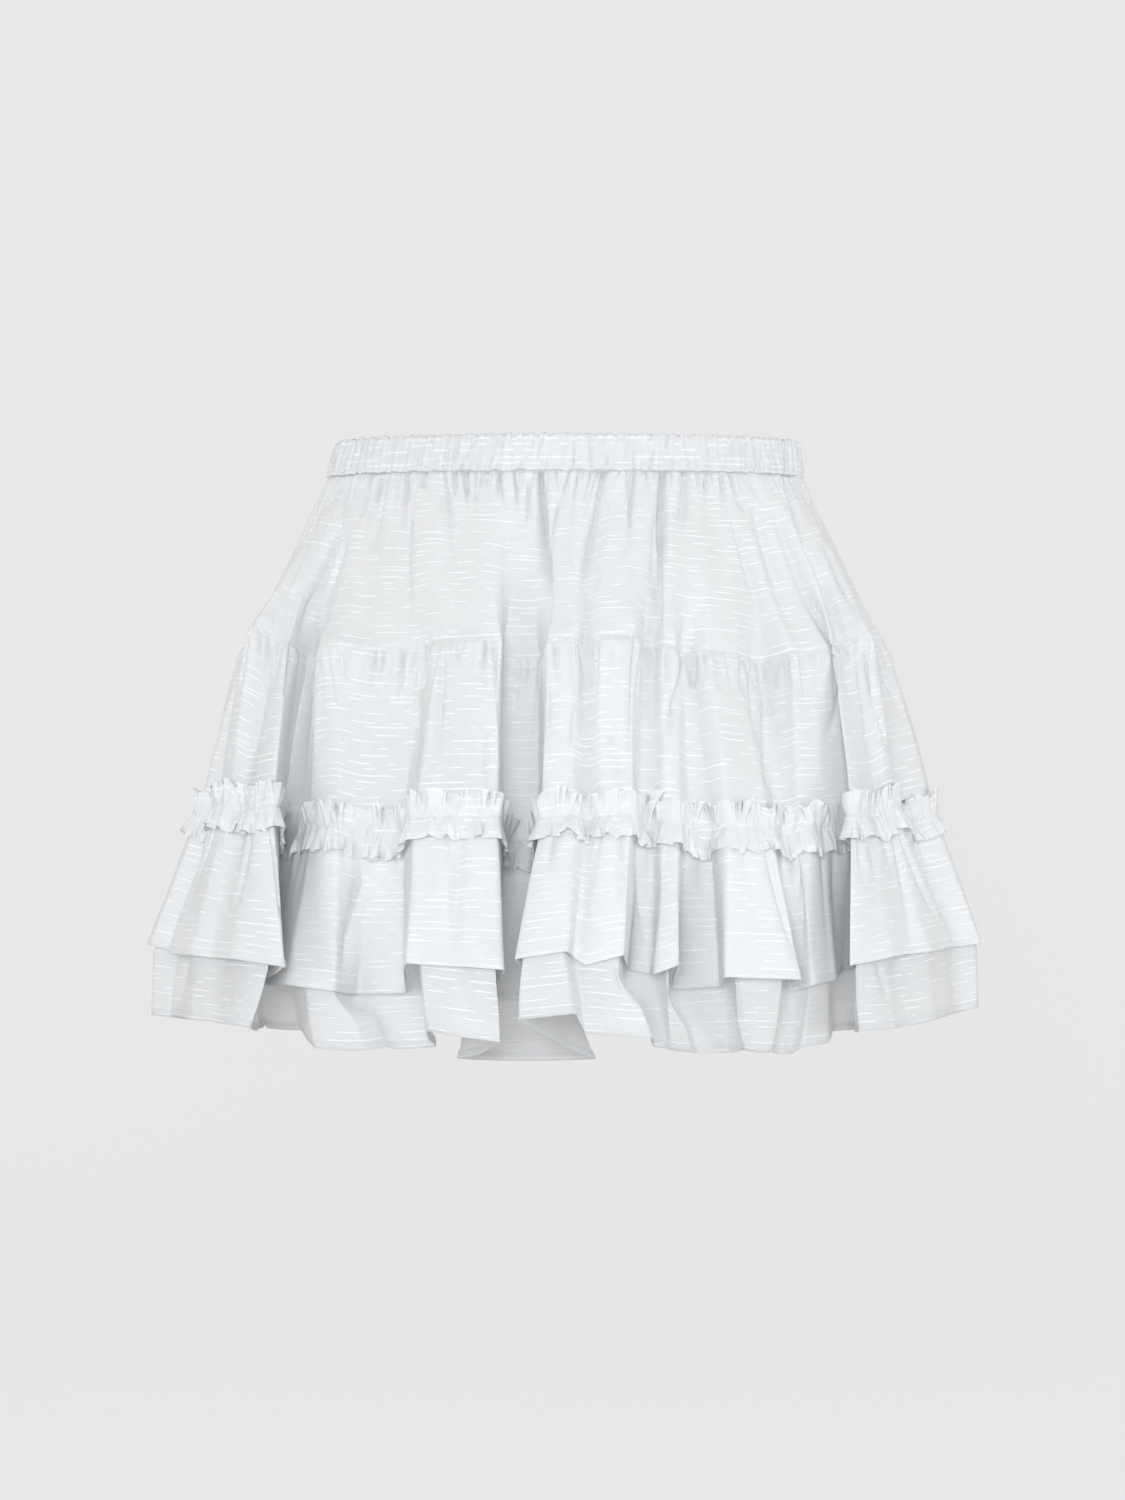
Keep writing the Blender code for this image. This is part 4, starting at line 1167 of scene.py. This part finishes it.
def frill(around, total, share):
    """Waves of the strip at one row: outwards, along the seam, and up or down."""
    spread = np.random.RandomState(71 if share < 0 else 83)
    place = 2 * math.pi * around / total

    def wobble(depth, slowest, quickest, terms=9):
        return sum(depth * np.cos(place * number + spread.uniform(0, 2 * math.pi))
                   for number in spread.randint(slowest, quickest, terms)) / math.sqrt(terms)

    edge = abs(share)
    wide = place * int(total / WIDE_WAVE) + wobble(4.0, 15, 100) + edge * wobble(1.2, 20, 100)
    narrow = place * int(total / NARROW_WAVE) + wobble(3.2, 30, 180) + edge * wobble(2.2, 30, 200)
    wide_size = WIDE_SIZE * edge ** 1.2 * (1 + wobble(0.8, 25, 120))
    narrow_size = NARROW_SIZE * edge * (1 + wobble(1.0, 40, 200))
    lean = wobble(1.1, 20, 140)
    out = (wide_size * np.cos(wide) + narrow_size * np.cos(narrow)
           + edge * wobble(0.0006, 120, 320))
    sway = edge * (wide_size * (0.9 * np.sin(2 * wide) + 0.9 * lean * np.cos(wide))
                   + narrow_size * (0.9 * np.sin(2 * narrow) + 0.9 * lean * np.cos(narrow)))
    rise = np.sign(share) * edge * (
        -0.35 * wide_size * np.cos(wide + 0.8) - 0.35 * narrow_size * np.cos(narrow + 0.5)
        + wobble(0.0013, 100, 260) + wobble(0.0012, 40, 120) + wobble(0.0003, 260, 420))
    return out, sway, rise


def set_up(name, data, place, aim):
    """Light or camera at one place, turned towards another."""
    item = bpy.data.objects.new(name, data)
    item.location = place
    item.rotation_euler = (Vector(aim) - Vector(place)).to_track_quat("-Z", "Y").to_euler()
    bpy.context.scene.collection.objects.link(item)
    return item


class SKIRT_OT_studio(bpy.types.Operator):
    """Studio: pale paper floor and backdrop, soft lights and the camera"""

    bl_idname = "skirt.studio"
    bl_label = "Studio"

    def execute(self, context):
        scene = context.scene
        studio = scene.skirt_studio
        # outline of the paper: reach from the axis and height, floor to wall
        floor, radius, reach, high = -1.0, 1.2, 3.6, 3.6
        outline = [(0.0, floor), (1.2, floor), (reach - radius, floor)]
        for step in range(1, 9):
            turn = math.pi / 2 * step / 8
            outline.append((reach - radius + radius * math.sin(turn),
                            floor + radius * (1 - math.cos(turn))))
        outline.append((reach, high))
        turns = np.linspace(0, 2 * math.pi, 96, endpoint=False)
        vertices = np.array([[(far * math.sin(turn), -far * math.cos(turn), height)
                              for turn in turns] for far, height in outline])
        rows, columns, _ = vertices.shape
        inner_faces = closed_faces(rows, columns)[:, [0, 3, 2, 1]]
        paper = new_piece("studio_paper", vertices, inner_faces)
        paper.visible_diffuse = False
        paper.visible_glossy = False
        paper.visible_shadow = False
        material, shader = new_material("studio paper")
        shader.inputs["Base Color"].default_value = (*studio.paper, 1.0)
        shader.inputs["Roughness"].default_value = 0.9
        shader.inputs["Specular IOR Level"].default_value = 0.1
        shader.inputs["Emission Color"].default_value = (1.0, 1.0, 1.0, 1.0)
        shader.inputs["Emission Strength"].default_value = studio.paper_glow
        paper.data.materials.append(material)

        world = bpy.data.worlds.new("studio air")
        world.use_nodes = True
        air = world.node_tree.nodes["Background"]
        air.inputs["Color"].default_value = (*studio.surround_tint, 1.0)
        air.inputs["Strength"].default_value = studio.surround
        scene.world = world
        scene.view_settings.view_transform = "Standard"

        for side, (place, size) in LIGHTS.items():
            light = bpy.data.lights.new(side + "_light", "AREA")
            light.shape = "DISK"
            light.size = size
            light.energy = getattr(studio, side)
            light.color = studio.lamp_tint
            set_up(side + "_light", light, place, LIGHTS_AIM)

        lens = bpy.data.cameras.new("camera")
        lens.lens = LENS_MM
        lens.sensor_width = 36.0
        lens.clip_start, lens.clip_end = 0.05, 30.0
        scene.camera = set_up("camera", lens, CAMERA_AT, CAMERA_AIM)
        return {"FINISHED"}


class SKIRT_PT_panel(bpy.types.Panel):
    """Lists the skirt's pieces and settings in the sidebar."""

    bl_idname = "SKIRT_PT_panel"
    bl_label = "Tiered ruffle skirt"
    bl_space_type = "VIEW_3D"
    bl_region_type = "UI"
    bl_category = "Skirt"

    def draw(self, context):
        for title, group in (("Cut", context.scene.skirt_cut),
                             ("Cotton", context.scene.skirt_cotton),
                             ("Studio", context.scene.skirt_studio)):
            box = self.layout.box()
            box.label(text=title)
            for key in group.bl_rna.properties.keys():
                if key not in ("rna_type", "name"):
                    box.prop(group, key)
        for operator in PIECES:
            self.layout.operator(operator.bl_idname)


GROUPS = {"skirt_cut": SkirtCut, "skirt_cotton": SkirtCotton, "skirt_studio": SkirtStudio}
PIECES = (SKIRT_OT_waistband, SKIRT_OT_tiers, SKIRT_OT_ruffles, SKIRT_OT_strip, SKIRT_OT_studio)


def register():
    for group in (*GROUPS.values(), *PIECES, SKIRT_PT_panel):
        bpy.utils.register_class(group)
    for name, group in GROUPS.items():
        setattr(bpy.types.Scene, name, bpy.props.PointerProperty(type=group))


def unregister():
    for name in GROUPS:
        delattr(bpy.types.Scene, name)
    for group in reversed((*GROUPS.values(), *PIECES, SKIRT_PT_panel)):
        bpy.utils.unregister_class(group)


def main():
    """Registers the add-on, sews the whole skirt and sets up its studio."""
    register()
    bpy.ops.skirt.waistband()
    bpy.ops.skirt.tiers()
    bpy.ops.skirt.ruffles()
    bpy.ops.skirt.strip()
    bpy.ops.skirt.studio()


if __name__ == "__main__":
    main()
